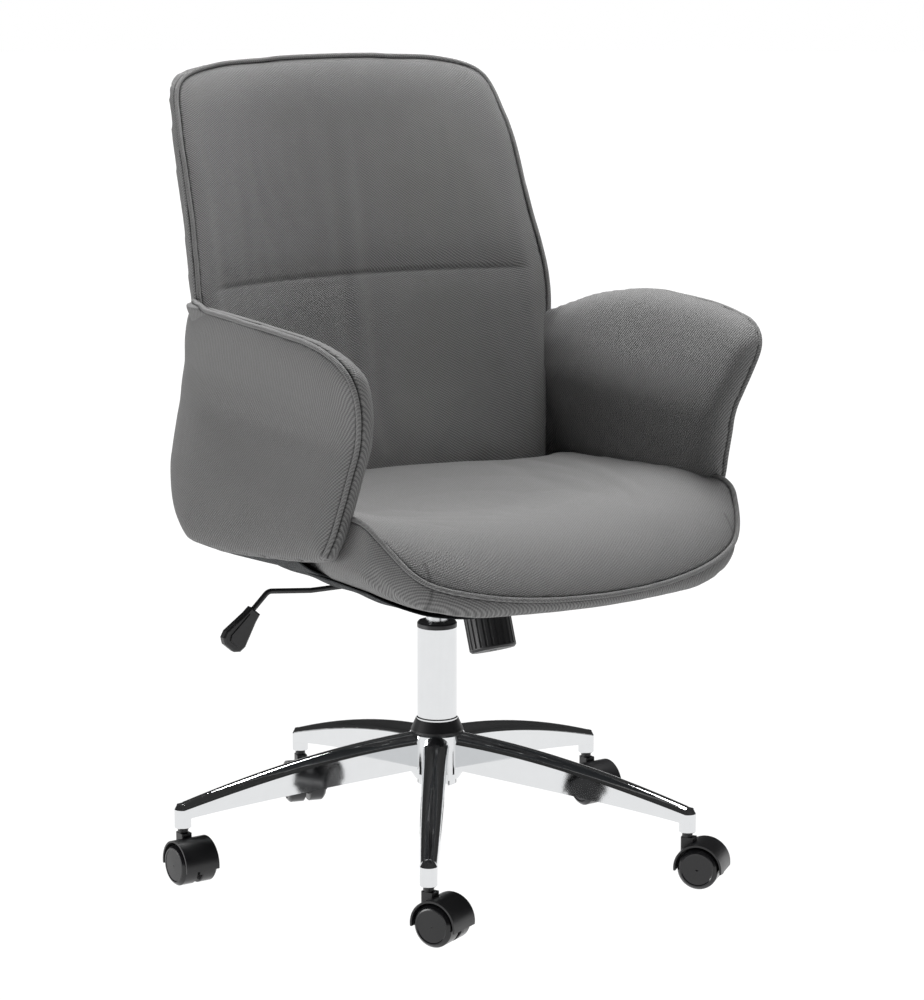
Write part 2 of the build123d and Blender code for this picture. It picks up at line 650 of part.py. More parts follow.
def seat_board():
    top = SEAT_UNDERSIDE + BOARD_THICKNESS
    board = block((-BOARD_HALF_WIDTH, BOARD_FRONT, SEAT_UNDERSIDE), (BOARD_HALF_WIDTH, BOARD_REAR, top))
    board = fillet(board.edges().filter_by(Axis.Z), 40)
    x, y, z = along_knob(BOLT_SEAT)
    board -= Pos(x, y, z) * Cylinder(22, 40)
    for x, y in seat_bolt_places():
        board -= Pos(x, y, 0) * post(SEAT_BOLT_RADIUS, SEAT_UNDERSIDE - 1, SEAT_UNDERSIDE + 10)
    return board


def seat_cushion():
    body = loft([seat_section(*row) for row in full_width(SEAT_STATIONS)], ruled=True)
    room = block((-BOARD_HALF_WIDTH - 1, BOARD_FRONT - 1, 380),
                 (BOARD_HALF_WIDTH + 1, BOARD_REAR, SEAT_UNDERSIDE + BOARD_THICKNESS))
    return body - room


def underside_cover():
    """Thin dust cover below the seat, open where the steel plate is bolted on."""
    sections = []
    for x, front, rear, top in full_width(COVER_STATIONS):
        low = top - COVER_THICKNESS
        outline = [(front, top), (rear, top), (rear, low), (front, low)]
        sections.append(make_face(Plane.YZ.offset(x) * Polyline(*outline, close=True)))
    (left, front), (right, rear) = COVER_WINDOW
    return loft(sections, ruled=True) - block((left, front, 380), (right, rear, 400))


def curved_slab(height, front, rear):
    """Plan section between two bowed edges, each given as half width, side and middle."""
    edges = []
    for half, side, middle in (front, rear):
        edges.append(ThreePointArc((-half, side), (0, middle), (half, side)))
    left = Line(edges[0] @ 0, edges[1] @ 0)
    right = Line(edges[0] @ 1, edges[1] @ 1)
    return Pos(0, 0, height) * make_face([edges[0], right, edges[1], left])


def bow(half, side, middle, x):
    """Where the arc through the side and middle points lies at this distance from the middle."""
    rise = middle - side
    radius = (half * half + rise * rise) / (2 * rise)
    return middle - radius + sqrt(radius * radius - x * x)


def back_cushion():
    sections = []
    for height, half, side, middle, depth in BACK_STATIONS:
        sections.append(curved_slab(height, (half, side, middle), (half, side + 6, middle + depth)))
    return loft(sections, ruled=True)


def back_board():
    """Bowed plywood between the back cushion and the rear panel, standing on the seat board."""
    sections = []
    for height, half, side, middle, depth in BACK_STATIONS[:8]:
        inner = min(half - 25, BOARD_HALF_WIDTH + 60)
        edge = bow(half, side + 6, middle + depth, inner) + CLEAR
        front = (inner, edge, middle + depth + CLEAR)
        rear = (inner, edge + 7, middle + depth + CLEAR + 7)
        sections.append(curved_slab(height, front, rear))
    return loft(sections, ruled=True)


def back_rear_panel():
    sections = []
    for height, half, side_front, side_rear, middle_front, middle_rear in REAR_STATIONS:
        front = (half, side_front + REAR_PANEL_GAP, middle_front + REAR_PANEL_GAP)
        sections.append(curved_slab(height, front, (half, side_rear, middle_rear)))
    return loft(sections, ruled=True)


def arm_face(y, z):
    """Outer face of an arm: waisted halfway up, flared at the top, and turning in behind."""
    flare = 30 * (max(0, z - ARM_WAIST) / 110) ** 1.5
    foot = 0.1 * max(0, ARM_WAIST - z)
    turn_in = 0.0009 * max(0, y - 60) ** 2
    return 268 + flare + foot - turn_in


def arm_layer(side, inner, outer, inset):
    """Slice of an arm between two depths measured outwards from its outer face."""
    sections = []
    for index, (y, low, high) in enumerate(ARM_STATIONS):
        shift = inset * ((index == 0) - (index == len(ARM_STATIONS) - 1))
        low, high = low + inset, high - inset
        heights = [low + (high - low) * step / 4 for step in range(5)]
        outside = [(side * (arm_face(y, z) + outer), y + shift, z) for z in heights]
        inside = [(side * (arm_face(y, z) + inner), y + shift, z) for z in heights]
        edges = [Spline(*outside), Line(outside[-1], inside[-1]), Spline(*reversed(inside)),
                 Line(inside[0], outside[0])]
        sections.append(make_face(edges))
    return loft(sections, ruled=True)


def arm_piping(side):
    """Welt around the edge of an arm's outer panel, from its rear foot to its rear shoulder."""
    gap = PIPING_RADIUS + CLEAR
    set_off = 1.15 * gap
    rows = [(y, low + PANEL_INSET, high - PANEL_INSET) for y, low, high in ARM_STATIONS[:9]]
    front = rows[0][0] + PANEL_INSET
    edge = [(y, low) for y, low, high in reversed(rows[1:])]
    edge += [(front, rows[0][1]), (front, rows[0][2])]
    edge += [(y, high) for y, low, high in rows[1:]]
    points = []
    for before, here, after in zip(edge, edge[1:], edge[2:]):
        along = Vector(after[0] - before[0], after[1] - before[1]).normalized()
        y, z = here[0] - set_off * along.Y, here[1] + set_off * along.X
        points.append((side * (arm_face(y, z) - PANEL_DEPTH + gap + 0.4), y, z))
    return pipe(points, PIPING_RADIUS, 5)


def seat_piping():
    return pipe(mirrored(SEAT_WELT), PIPING_RADIUS, 9)


def back_piping():
    return pipe(mirrored(BACK_WELT), PIPING_RADIUS, 8)


def save_upholstery():
    save("seat_board", seat_board())
    save("seat_cushion", seat_cushion())
    save("seat_piping", seat_piping())
    save("underside_cover", underside_cover())
    save("back_board", back_board())
    save("back_cushion", back_cushion())
    save("back_rear_panel", back_rear_panel())
    save("back_piping", back_piping())
    for name, side in (("right", -1), ("left", 1)):
        save(f"arm_{name}_pad", arm_layer(side, -ARM_THICKNESS, -PANEL_DEPTH, 0))
        panel = arm_layer(side, PANEL_CLEARANCE - PANEL_DEPTH, PANEL_THICKNESS - PANEL_DEPTH, PANEL_INSET)
        save(f"arm_{name}_panel", panel)
        save(f"arm_{name}_piping", arm_piping(side))


os.makedirs("parts", exist_ok=True)
save_base()
save_casters()
save_gas_lift()
save_mechanism()
save_upholstery()
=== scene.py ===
"""Swivel office chair: upholstery, finishes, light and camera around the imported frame. Metres, chair facing -Y."""

import json
import math

import bmesh
import bpy
import mathutils
import numpy as np
from mathutils.bvhtree import BVHTree
from mathutils.kdtree import KDTree
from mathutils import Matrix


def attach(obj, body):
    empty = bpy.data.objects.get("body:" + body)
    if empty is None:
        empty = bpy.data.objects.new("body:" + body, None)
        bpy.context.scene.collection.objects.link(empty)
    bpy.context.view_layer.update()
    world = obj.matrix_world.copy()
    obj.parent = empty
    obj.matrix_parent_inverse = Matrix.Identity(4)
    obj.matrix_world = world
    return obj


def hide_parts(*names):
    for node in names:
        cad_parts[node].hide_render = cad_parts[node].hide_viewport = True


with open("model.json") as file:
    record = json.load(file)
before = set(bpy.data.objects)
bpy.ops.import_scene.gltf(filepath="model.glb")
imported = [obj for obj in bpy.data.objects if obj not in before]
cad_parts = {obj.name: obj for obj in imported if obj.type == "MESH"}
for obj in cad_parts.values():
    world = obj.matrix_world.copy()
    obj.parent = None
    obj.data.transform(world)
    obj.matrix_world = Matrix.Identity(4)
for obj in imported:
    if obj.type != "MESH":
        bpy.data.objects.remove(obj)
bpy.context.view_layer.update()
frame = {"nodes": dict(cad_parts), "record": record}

# Upholstery outlines. Heights here start from a level below the floor, as in part.py, and each piece is lowered
# by FLOOR when it is finished. Each row starts with the height it holds at, unless its comment says otherwise.
FLOOR = 0.0062
ARM_SEAM = 0.205  # where the arm panel's rear seam is, along the tub from the middle of the side
ARM_FRONT = [  # y, z up the welt at the front of an arm
    (-0.200, 0.460),
    (-0.213, 0.480),
    (-0.2221, 0.500),
    (-0.2362, 0.540),
    (-0.2502, 0.580),
    (-0.2585, 0.602),
    (-0.2680, 0.624),
    (-0.2752, 0.647),
    (-0.2786, 0.668),
    (-0.2745, 0.681),
    (-0.2640, 0.691),
]
ARM_TOP = {  # y, z along the welt on top of each arm, the left-hand one (+X) sinking towards the back
    1: [
        (-0.2640, 0.691),
        (-0.2460, 0.699),
        (-0.2057, 0.706),
        (-0.1690, 0.710),
        (-0.1070, 0.713),
        (-0.0540, 0.714),
        (-0.0170, 0.711),
        (0.0230, 0.705),
        (0.0670, 0.696),
        (0.0900, 0.688),
        (0.1130, 0.679),
        (0.1310, 0.669),
        (0.1480, 0.658),
        (0.1750, 0.647),
        (ARM_SEAM, 0.641),
    ],
    -1: [
        (-0.2640, 0.691),
        (-0.2460, 0.700),
        (-0.2057, 0.710),
        (-0.1300, 0.715),
        (-0.0600, 0.718),
        (0.0300, 0.721),
        (0.0900, 0.719),
        (0.1500, 0.717),
        (ARM_SEAM, 0.716),
    ],
}
ARM_BOTTOM = [  # y, z along an arm's lower edge
    (-0.200, 0.460),
    (-0.185, 0.4545),
    (-0.150, 0.4485),
    (-0.046, 0.4370),
    (0.040, 0.4305),
    (0.100, 0.430),
    (0.125, 0.435),
    (0.142, 0.447),
    (0.158, 0.466),
    (0.175, 0.485),
    (ARM_SEAM, 0.496),
]
REAR_MIDDLE = 0.452, 0.690  # heights of the lower rear panel's two edges in the middle
TUB = [  # z, knee y, length of the knee's sides, rear y in the middle
    (0.405, 0.1085, 0.040, 0.224),
    (0.436, 0.1335, 0.040, 0.230),
    (0.465, 0.168, 0.040, 0.237),
    (0.486, 0.175, 0.040, 0.241),
    (0.520, 0.174, 0.040, 0.248),
    (0.550, 0.183, 0.042, 0.254),
    (0.605, 0.200, 0.050, 0.265),
    (0.660, 0.170, 0.070, 0.276),
    (0.700, 0.135, 0.090, 0.283),
    (0.730, 0.067, 0.090, 0.287),
]
BACK = [  # z, half width, side y, middle y, depth
    (0.440, 0.232, 0.094, 0.158, 0.040),
    (0.485, 0.234, 0.095, 0.159, 0.040),
    (0.600, 0.240, 0.105, 0.180, 0.040),
    (0.660, 0.247, 0.115, 0.190, 0.040),
    (0.715, 0.252, 0.127, 0.200, 0.040),
    (0.820, 0.243, 0.164, 0.219, 0.040),
    (0.900, 0.239, 0.195, 0.233, 0.038),
    (0.950, 0.2315, 0.222, 0.241, 0.032),
    (1.002, 0.2315, 0.258, 0.256, 0.014),
]
BACK_TOP = [  # x, z over the top of the back cushion, left half
    (-0.2315, 0.950),
    (-0.2285, 0.966),
    (-0.2190, 0.981),
    (-0.1980, 0.990),
    (-0.1500, 0.9965),
    (-0.0800, 1.000),
    (0.0, 1.0015),
]
REAR = [  # z, half width, side y, middle y of the upper rear panel
    (0.630, 0.249, 0.150, 0.256),
    (0.668, 0.254, 0.158, 0.268),
    (0.690, 0.257, 0.163, 0.277),
    (0.715, 0.2590, 0.168, 0.281),
    (0.820, 0.2505, 0.195, 0.296),
    (0.900, 0.2445, 0.222, 0.306),
    (0.950, 0.2350, 0.247, 0.311),
    (1.004, 0.2350, 0.296, 0.308),
]
REAR_TOP = [  # x, z over the top of the rear panel, left half
    (-0.2350, 0.950),
    (-0.2325, 0.965),
    (-0.2230, 0.981),
    (-0.2000, 0.9905),
    (-0.1500, 0.998),
    (-0.0800, 1.002),
    (0.0, 1.0035),
]
BACK_WELT = [  # x, y, z of half the welt round the back
    (-0.2575, 0.113, 0.640),
    (-0.2585, 0.122, 0.675),
    (-0.2587, 0.132, 0.706),
    (-0.2580, 0.1375, 0.730),
    (-0.2500, 0.1675, 0.820),
    (-0.2460, 0.1990, 0.900),
    (-0.2390, 0.2255, 0.950),
    (-0.2240, 0.2450, 0.981),
    (-0.1620, 0.2630, 0.999),
    (-0.0800, 0.2680, 1.0015),
    (0.0, 0.2690, 1.0025),
]
SEAT = [  # x, front, welt z, under z, crest z, dish z, rear y, rear top z
    (0.000, -0.370, 0.415, 0.3985, 0.480, 0.468, 0.165, 0.482),
    (0.140, -0.352, 0.424, 0.3990, 0.486, 0.472, 0.140, 0.483),
    (0.215, -0.318, 0.443, 0.4110, 0.500, 0.490, 0.104, 0.487),
    (0.252, -0.258, 0.503, 0.4400, 0.512, 0.505, 0.094, 0.494),
]
SEAT_WELT = [  # x, y, z of half the welt round the seat
    (-0.262, -0.2200, 0.5165),
    (-0.2550, -0.2450, 0.5100),
    (-0.2510, -0.2680, 0.5000),
    (-0.2450, -0.2900, 0.4800),
    (-0.2330, -0.3100, 0.4580),
    (-0.2120, -0.3260, 0.4430),
    (-0.1410, -0.3565, 0.4255),
    (-0.0700, -0.3700, 0.4180),
    (0.0, -0.3745, 0.4165),
]
COVER = [  # x, front, rear, top of the dust cover
    (0.000, -0.316, 0.150, 0.3957),
    (0.155, -0.296, 0.150, 0.3957),
    (0.205, -0.262, 0.110, 0.4040),
    (0.228, -0.215, 0.100, 0.4180),
]
BOXING_SEAMS = [(-0.208, -0.330), (0.225, -0.300)]  # x, y of the short seams on the front edge
WELT_RADIUS = 0.0030
PAD_THICKNESS = 0.027
SEAM_HEIGHT = 0.729


def smooth(x, table, column):
    """A monotone cubic through one column of a table, at x."""
    t = np.array([row[0] for row in table], float)
    v = np.array([row[column] for row in table], float)
    h = np.diff(t)
    slope = np.diff(v) / h
    m = np.zeros(len(t))
    m[0], m[-1] = slope[0], slope[-1]
    same = slope[1:] * slope[:-1] > 0
    w1, w2 = 2 * h[1:] + h[:-1], h[1:] + 2 * h[:-1]
    with np.errstate(divide="ignore", invalid="ignore"):
        mean = (w1 + w2) / (w1 / slope[:-1] + w2 / slope[1:])
    m[1:-1] = np.where(same, mean, 0)
    if t[0] == 0:
        m[0] = 0
    x = np.clip(np.asarray(x, float), t[0], t[-1])
    i = np.clip(np.searchsorted(t, x) - 1, 0, len(h) - 1)
    s = (x - t[i]) / h[i]
    s2, s3 = s * s, s * s * s
    return (
        (2 * s3 - 3 * s2 + 1) * v[i]
        + (s3 - 2 * s2 + s) * h[i] * m[i]
        + (3 * s2 - 2 * s3) * v[i + 1]
        + (s3 - s2) * h[i] * m[i + 1]
    )


def through(points, count):
    """count points along a smooth curve through the given ones."""
    p = np.array(points, float)
    p = np.vstack([2 * p[0] - p[1], p, 2 * p[-1] - p[-2]])
    runs = []
    for a, b, c, d in zip(p, p[1:], p[2:], p[3:]):
        ta = 0.0
        tb = ta + np.linalg.norm(b - a) ** 0.5
        tc = tb + np.linalg.norm(c - b) ** 0.5
        td = tc + np.linalg.norm(d - c) ** 0.5
        t = np.linspace(tb, tc, 16, endpoint=False)[:, None]
        ab = ((tb - t) * a + (t - ta) * b) / (tb - ta)
        bc = ((tc - t) * b + (t - tb) * c) / (tc - tb)
        cd = ((td - t) * c + (t - tc) * d) / (td - tc)
        abc = ((tc - t) * ab + (t - ta) * bc) / (tc - ta)
        bcd = ((td - t) * bc + (t - tb) * cd) / (td - tb)
        runs.append(((tc - t) * abc + (t - tb) * bcd) / (tc - tb))
    curve = np.vstack([*runs, p[-2]])
    s = np.r_[0, np.cumsum(np.linalg.norm(np.diff(curve, axis=0), axis=1))]
    want = np.linspace(0, s[-1], count)
    return np.stack([np.interp(want, s, curve[:, k]) for k in range(curve.shape[1])], -1)


def with_mirror(half):
    """A left half given from the side to the middle, and its mirror image after it."""
    return [*half, *[(-p[0], *p[1:]) for p in reversed(half[:-1])]]


def coons(bottom, top, left, right):
    """Grid between four border curves. Rows go up and columns go from left to right."""
    u = np.linspace(0, 1, len(bottom))[None, :, None]
    v = np.linspace(0, 1, len(left))[:, None, None]
    ruled = (1 - v) * bottom[None] + v * top[None] + (1 - u) * left[:, None] + u * right[:, None]
    corners = (1 - u) * (1 - v) * bottom[0] + u * (1 - v) * bottom[-1] + (1 - u) * v * top[0] + u * v * top[-1]
    return ruled - corners


def edge_distance(points, line):
    """Distance of each flat point to a polyline."""
    p = points.reshape(-1, 1, points.shape[-1])
    a, b = line[:-1][None], line[1:][None]
    along = b - a
    t = np.clip(((p - a) * along).sum(-1) / np.maximum((along * along).sum(-1), 1e-12), 0, 1)
    gap = np.linalg.norm(p - a - along * t[..., None], axis=-1)
    return gap.min(1).reshape(points.shape[:-1])


def roll(distance, radius):
    """0 at an edge to 1 a radius inside it, as a quarter circle."""
    t = 1 - np.clip(distance / radius, 0, 1)
    return np.sqrt(1 - t * t)


def border(grid):
    """The four borders of a grid as one closed line."""
    return np.vstack([grid[0], grid[1:, -1], grid[-1, -2::-1], grid[-2::-1, 0]])


def new_mesh(name, verts, faces):
    """A smooth-shaded object with outward normals."""
    mesh = bpy.data.meshes.new(name)
    mesh.from_pydata([tuple(v) for v in np.asarray(verts, float)], [], [tuple(f) for f in faces])
    work = bmesh.new()
    work.from_mesh(mesh)
    bmesh.ops.remove_doubles(work, verts=work.verts, dist=1e-6)
    bmesh.ops.recalc_face_normals(work, faces=work.faces)
    work.to_mesh(mesh)
    work.free()
    mesh.polygons.foreach_set("use_smooth", [True] * len(mesh.polygons))
    obj = bpy.data.objects.new(name, mesh)
    bpy.context.scene.collection.objects.link(obj)
    return obj


def grid_faces(rows, cols, start=0):
    return [
        (start + i * cols + j, start + i * cols + j + 1, start + (i + 1) * cols + j + 1, start + (i + 1) * cols + j)
        for i in range(rows - 1)
        for j in range(cols - 1)
    ]


def slab(name, outer, inner):
    """Closed mesh between two grids of the same size."""
    rows, cols = outer.shape[:2]
    size = rows * cols
    faces = grid_faces(rows, cols) + grid_faces(rows, cols, size)
    index = np.arange(size).reshape(rows, cols)
    loop = [*index[0], *index[1:, -1], *index[-1, -2::-1], *index[-2:0:-1, 0]]
    faces += [(a, b, b + size, a + size) for a, b in zip(loop, loop[1:] + loop[:1])]
    return new_mesh(name, np.vstack([outer.reshape(-1, 3), inner.reshape(-1, 3)]), faces)


def loft(name, sections):
    """Closed mesh through closed sections with the same number of points."""
    rows, cols = sections.shape[:2]
    faces = [
        (i * cols + j, i * cols + (j + 1) % cols, (i + 1) * cols + (j + 1) % cols, (i + 1) * cols + j)
        for i in range(rows - 1)
        for j in range(cols)
    ]
    faces += [tuple(range(cols)), tuple(range((rows - 1) * cols, rows * cols))]
    return new_mesh(name, sections.reshape(-1, 3), faces)


def tube(name, points, radius, sides=12):
    """A round cord along points, with closed ends."""
    points = np.asarray(points, float)
    along = np.gradient(points, axis=0)
    along /= np.linalg.norm(along, axis=1)[:, None]
    across = np.cross(along[0], (0.3, 0.5, 0.8))
    rings = []
    for p, t in zip(points, along):
        across = across - t * (across @ t)
        across /= np.linalg.norm(across)
        up = np.cross(t, across)
        turn = np.linspace(0, 2 * math.pi, sides, endpoint=False)[:, None]
        rings.append(p + radius * (np.cos(turn) * across + np.sin(turn) * up))
    return loft(name, np.array(rings))


def arm_face(y, z):
    """Distance of an arm's outer face from the middle plane: waisted, flared on top, and wider low down behind."""
    waist = 0.590
    flare = 0.030 * (np.maximum(0, z - waist) / 0.110) ** 1.5
    skirt = 0.1 * np.maximum(0, waist - z)
    low = np.clip((0.640 - z) / 0.12, 0, 1)
    spread = 0.016 * low * np.clip((y + 0.20) / 0.30, 0, 1) ** 1.5
    sweep = (0.9 - 0.7 * low) * np.maximum(0, y - 0.060) ** 2
    return 0.268 + flare + skirt + spread - sweep


def tub_plan(z, count=241):
    """Plan of the outer shell at one height, front to middle of the rear: s from the middle of the side, x and y."""
    knee_y, leg, middle = (smooth(z, TUB, k) for k in (1, 2, 3))
    y = np.linspace(-0.30, knee_y - leg, 60)
    side = np.stack([arm_face(y, z), y], -1)
    knee = np.array([arm_face(knee_y, z), knee_y])
    end_x = knee[0] - leg * 0.9
    drop = (middle - knee_y - 0.004) / knee[0] ** 2.4

    def rear(x):
        return np.stack([x, middle - drop * x**2.4], -1)

    end = rear(np.array([end_x]))[0]
    t = np.linspace(0, 1, 22)[1:-1, None]
    bend = (1 - t) ** 2 * side[-1] + 2 * t * (1 - t) * knee + t * t * end
    plan = np.vstack([side, bend, rear(np.linspace(end_x, 0, 80))])
    s = np.r_[0, np.cumsum(np.linalg.norm(np.diff(plan, axis=0), axis=1))] - 0.30
    want = np.linspace(s[0], s[-1], count)
    return want, np.interp(want, s, plan[:, 0]), np.interp(want, s, plan[:, 1])


TUB_LEVELS = np.linspace(0.400, 0.732, 84)
TUB_PLANS = [tub_plan(z) for z in TUB_LEVELS]
TUB_END = np.array([plan[0][-1] for plan in TUB_PLANS])


def tub_points(s, z, offset):
    """Points on the outer shell's right-hand half (+X), moved out by offset along the plan's normal."""
    s, z = np.broadcast_arrays(s, z)
    offset = np.broadcast_to(offset, s.shape)
    place = np.clip((z - TUB_LEVELS[0]) / (TUB_LEVELS[1] - TUB_LEVELS[0]), 0, len(TUB_LEVELS) - 1.001)
    low = place.astype(int)
    part = place - low
    out = np.zeros((*s.shape, 3))
    for shift, weight in ((0, 1 - part), (1, part)):
        for level in np.unique(low + shift):
            chosen = (low + shift) == level
            want, px, py = TUB_PLANS[level]
            tx, ty = np.gradient(px), np.gradient(py)
            size = np.hypot(tx, ty)
            x = np.interp(s[chosen], want, px) + offset[chosen] * np.interp(s[chosen], want, ty / size)
            y = np.interp(s[chosen], want, py) - offset[chosen] * np.interp(s[chosen], want, tx / size)
            out[chosen, 0] += weight[chosen] * x
            out[chosen, 1] += weight[chosen] * y
    out[..., 2] = z
    return out


def mirrored(points, side):
    return points * np.array([side, 1, 1])


def simulate(obj, pinned, pressure=4.0, limit=0.004, voxel=0.005):
    """Remeshes a pad, lets it swell as cloth with its edges held, and subdivides it."""
    remesh = obj.modifiers.new("remesh", "REMESH")
    remesh.mode = "VOXEL"
    remesh.voxel_size = voxel
    bpy.context.view_layer.objects.active = obj
    bpy.ops.object.modifier_apply(modifier="remesh")
    rest = np.array([v.co for v in obj.data.vertices], float)
    hold = pinned(rest)
    group = obj.vertex_groups.new(name="held")
    for index, weight in enumerate(hold):
        group.add([index], float(weight), "REPLACE")
    cloth = obj.modifiers.new("cloth", "CLOTH")
    settings = cloth.settings
    settings.quality = 6
    settings.mass = 0.4
    settings.tension_stiffness = 18
    settings.compression_stiffness = 18
    settings.shear_stiffness = 8
    settings.bending_stiffness = 1.2
    settings.use_pressure = True
    settings.uniform_pressure_force = pressure
    settings.vertex_group_mass = "held"
    settings.effector_weights.gravity = 0
    cloth.collision_settings.use_collision = False
    cloth.point_cache.frame_start = 1
    cloth.point_cache.frame_end = 20
    for step in range(1, 21):
        bpy.context.scene.frame_set(step)
    shaped = obj.evaluated_get(bpy.context.evaluated_depsgraph_get())
    moved = np.array([v.co for v in shaped.data.vertices], float) - rest
    far = np.linalg.norm(moved, axis=1)[:, None]
    moved *= np.minimum(1, limit / np.maximum(far, 1e-9))
    obj.modifiers.remove(cloth)
    rest = rest + moved
    bpy.context.scene.frame_set(1)
    work = bmesh.new()
    work.from_mesh(obj.data)
    work.verts.ensure_lookup_table()
    for v, co in zip(work.verts, rest):
        v.co = co
    for _ in range(3):
        bmesh.ops.smooth_vert(work, verts=work.verts, factor=0.5, use_axis_x=True, use_axis_y=True, use_axis_z=True)
    work.to_mesh(obj.data)
    work.free()
    finer = obj.modifiers.new("finer", "SUBSURF")
    finer.levels = finer.render_levels = 1
    bpy.ops.object.modifier_apply(modifier="finer")
    obj.vertex_groups.clear()
    obj.data.polygons.foreach_set("use_smooth", [True] * len(obj.data.polygons))


def bed(line, *pads, sink=0.0012):
    """Moves a welt's line until the welt beds into the pads beside it."""
    trees = []
    for pad in pads:
        verts = [v.co.copy() for v in pad.data.vertices]
        trees.append(BVHTree.FromPolygons(verts, [tuple(f.vertices) for f in pad.data.polygons]))
    line = np.array(line, float)
    reach = WELT_RADIUS - sink
    for _ in range(4):
        shift = np.zeros_like(line)
        for tree in trees:
            for i, p in enumerate(line):
                found, normal, _, gap = tree.find_nearest(tuple(p))
                away = np.array(p) - np.array(found)
                inside = away @ np.array(normal) < 0
                if gap > (0.006 if inside else 0.020):
                    continue
                gap = -gap if inside else gap
                unit = np.array(normal) if gap < 0.0005 else away / gap
                shift[i] += unit * (reach - gap) / len(trees)
        line = line + shift * 0.7
        for _ in range(6):
            line[1:-1] = 0.25 * line[:-2] + 0.5 * line[1:-1] + 0.25 * line[2:]
    return line


def corners_of(obj):
    co = np.zeros(len(obj.data.vertices) * 3)
    obj.data.vertices.foreach_get("co", co)
    return co.reshape(-1, 3)


def move_vertices(obj, shift):
    co = corners_of(obj) + shift
    obj.data.vertices.foreach_set("co", co.ravel())
    obj.data.update()


def set_weave(obj, along, across, seam_shade=None):
    """Stores where each vertex is on its cloth, in metres, and how much painted shade it takes in the crease of a welt
    or seam.
    """
    weave = obj.data.attributes.new("weave", "FLOAT_VECTOR", "POINT")
    weave.data.foreach_set("vector", np.stack([along, across, np.zeros_like(along)], -1).astype(np.float32).ravel())
    # Painted shade amount, 0 to 1, that the cloth material uses to darken its colour.
    seam = obj.data.attributes.new("seam", "FLOAT", "POINT")
    seam.data.foreach_set("value", (np.zeros_like(along) if seam_shade is None else seam_shade).astype(np.float32))


def near(points, line, width):
    """1 on a line, falling to 0 beyond width from it."""
    out = np.zeros(len(points))
    low, high = line.min(0) - 3 * width, line.max(0) + 3 * width
    chosen = np.flatnonzero(np.all((points > low) & (points < high), axis=1))
    for part in np.array_split(chosen, max(1, len(chosen) // 20000)):
        out[part] = np.exp(-((edge_distance(points[part], line) / width) ** 2))
    return out


def crease(points, line, reach=0.0042, fade=0.0016):
    """1 within reach of a line, falling to 0 over the next stretch."""
    tree = KDTree(len(line))
    for i, p in enumerate(line):
        tree.insert(p, i)
    tree.balance()
    gap = np.array([tree.find(p)[2] for p in points])
    t = np.clip((reach + fade - gap) / fade, 0, 1)
    return t * t * (3 - 2 * t)


# Materials


def nodes_of(name):
    material = bpy.data.materials.new(name)
    material.use_nodes = True
    tree = material.node_tree
    return material, tree, tree.nodes["Principled BSDF"]


def add(tree, kind, inputs=(), **settings):
    node = tree.nodes.new(kind)
    for key, value in settings.items():
        setattr(node, key, value)
    for key, value in dict(inputs).items():
        if hasattr(value, "is_linked") or hasattr(value, "links"):
            tree.links.new(value, node.inputs[key])
        else:
            node.inputs[key].default_value = value
    return node


def ramp(tree, source, stops):
    node = add(tree, "ShaderNodeValToRGB", {0: source})
    elements = node.color_ramp.elements
    while len(elements) < len(stops):
        elements.new(0.5)
    for element, (place, colour) in zip(elements, stops):
        element.position = place
        element.color = (*colour, 1)
    return node.outputs[0]


def mix(tree, share, a, b, blend="MIX"):
    node = add(tree, "ShaderNodeMix", data_type="RGBA", blend_type=blend)
    for index, value in ((0, share), (6, a), (7, b)):
        if hasattr(value, "links"):
            tree.links.new(value, node.inputs[index])
        elif isinstance(value, tuple):
            node.inputs[index].default_value = (*value, 1)
        else:
            node.inputs[index].default_value = value
    return node.outputs[2]


def math_node(tree, operation, a, b=0.0):
    return add(tree, "ShaderNodeMath", {0: a, 1: b}, operation=operation).outputs[0]


def grey(value, warm=0.0):
    return (value * (1 + warm), value, value * (1 - warm))


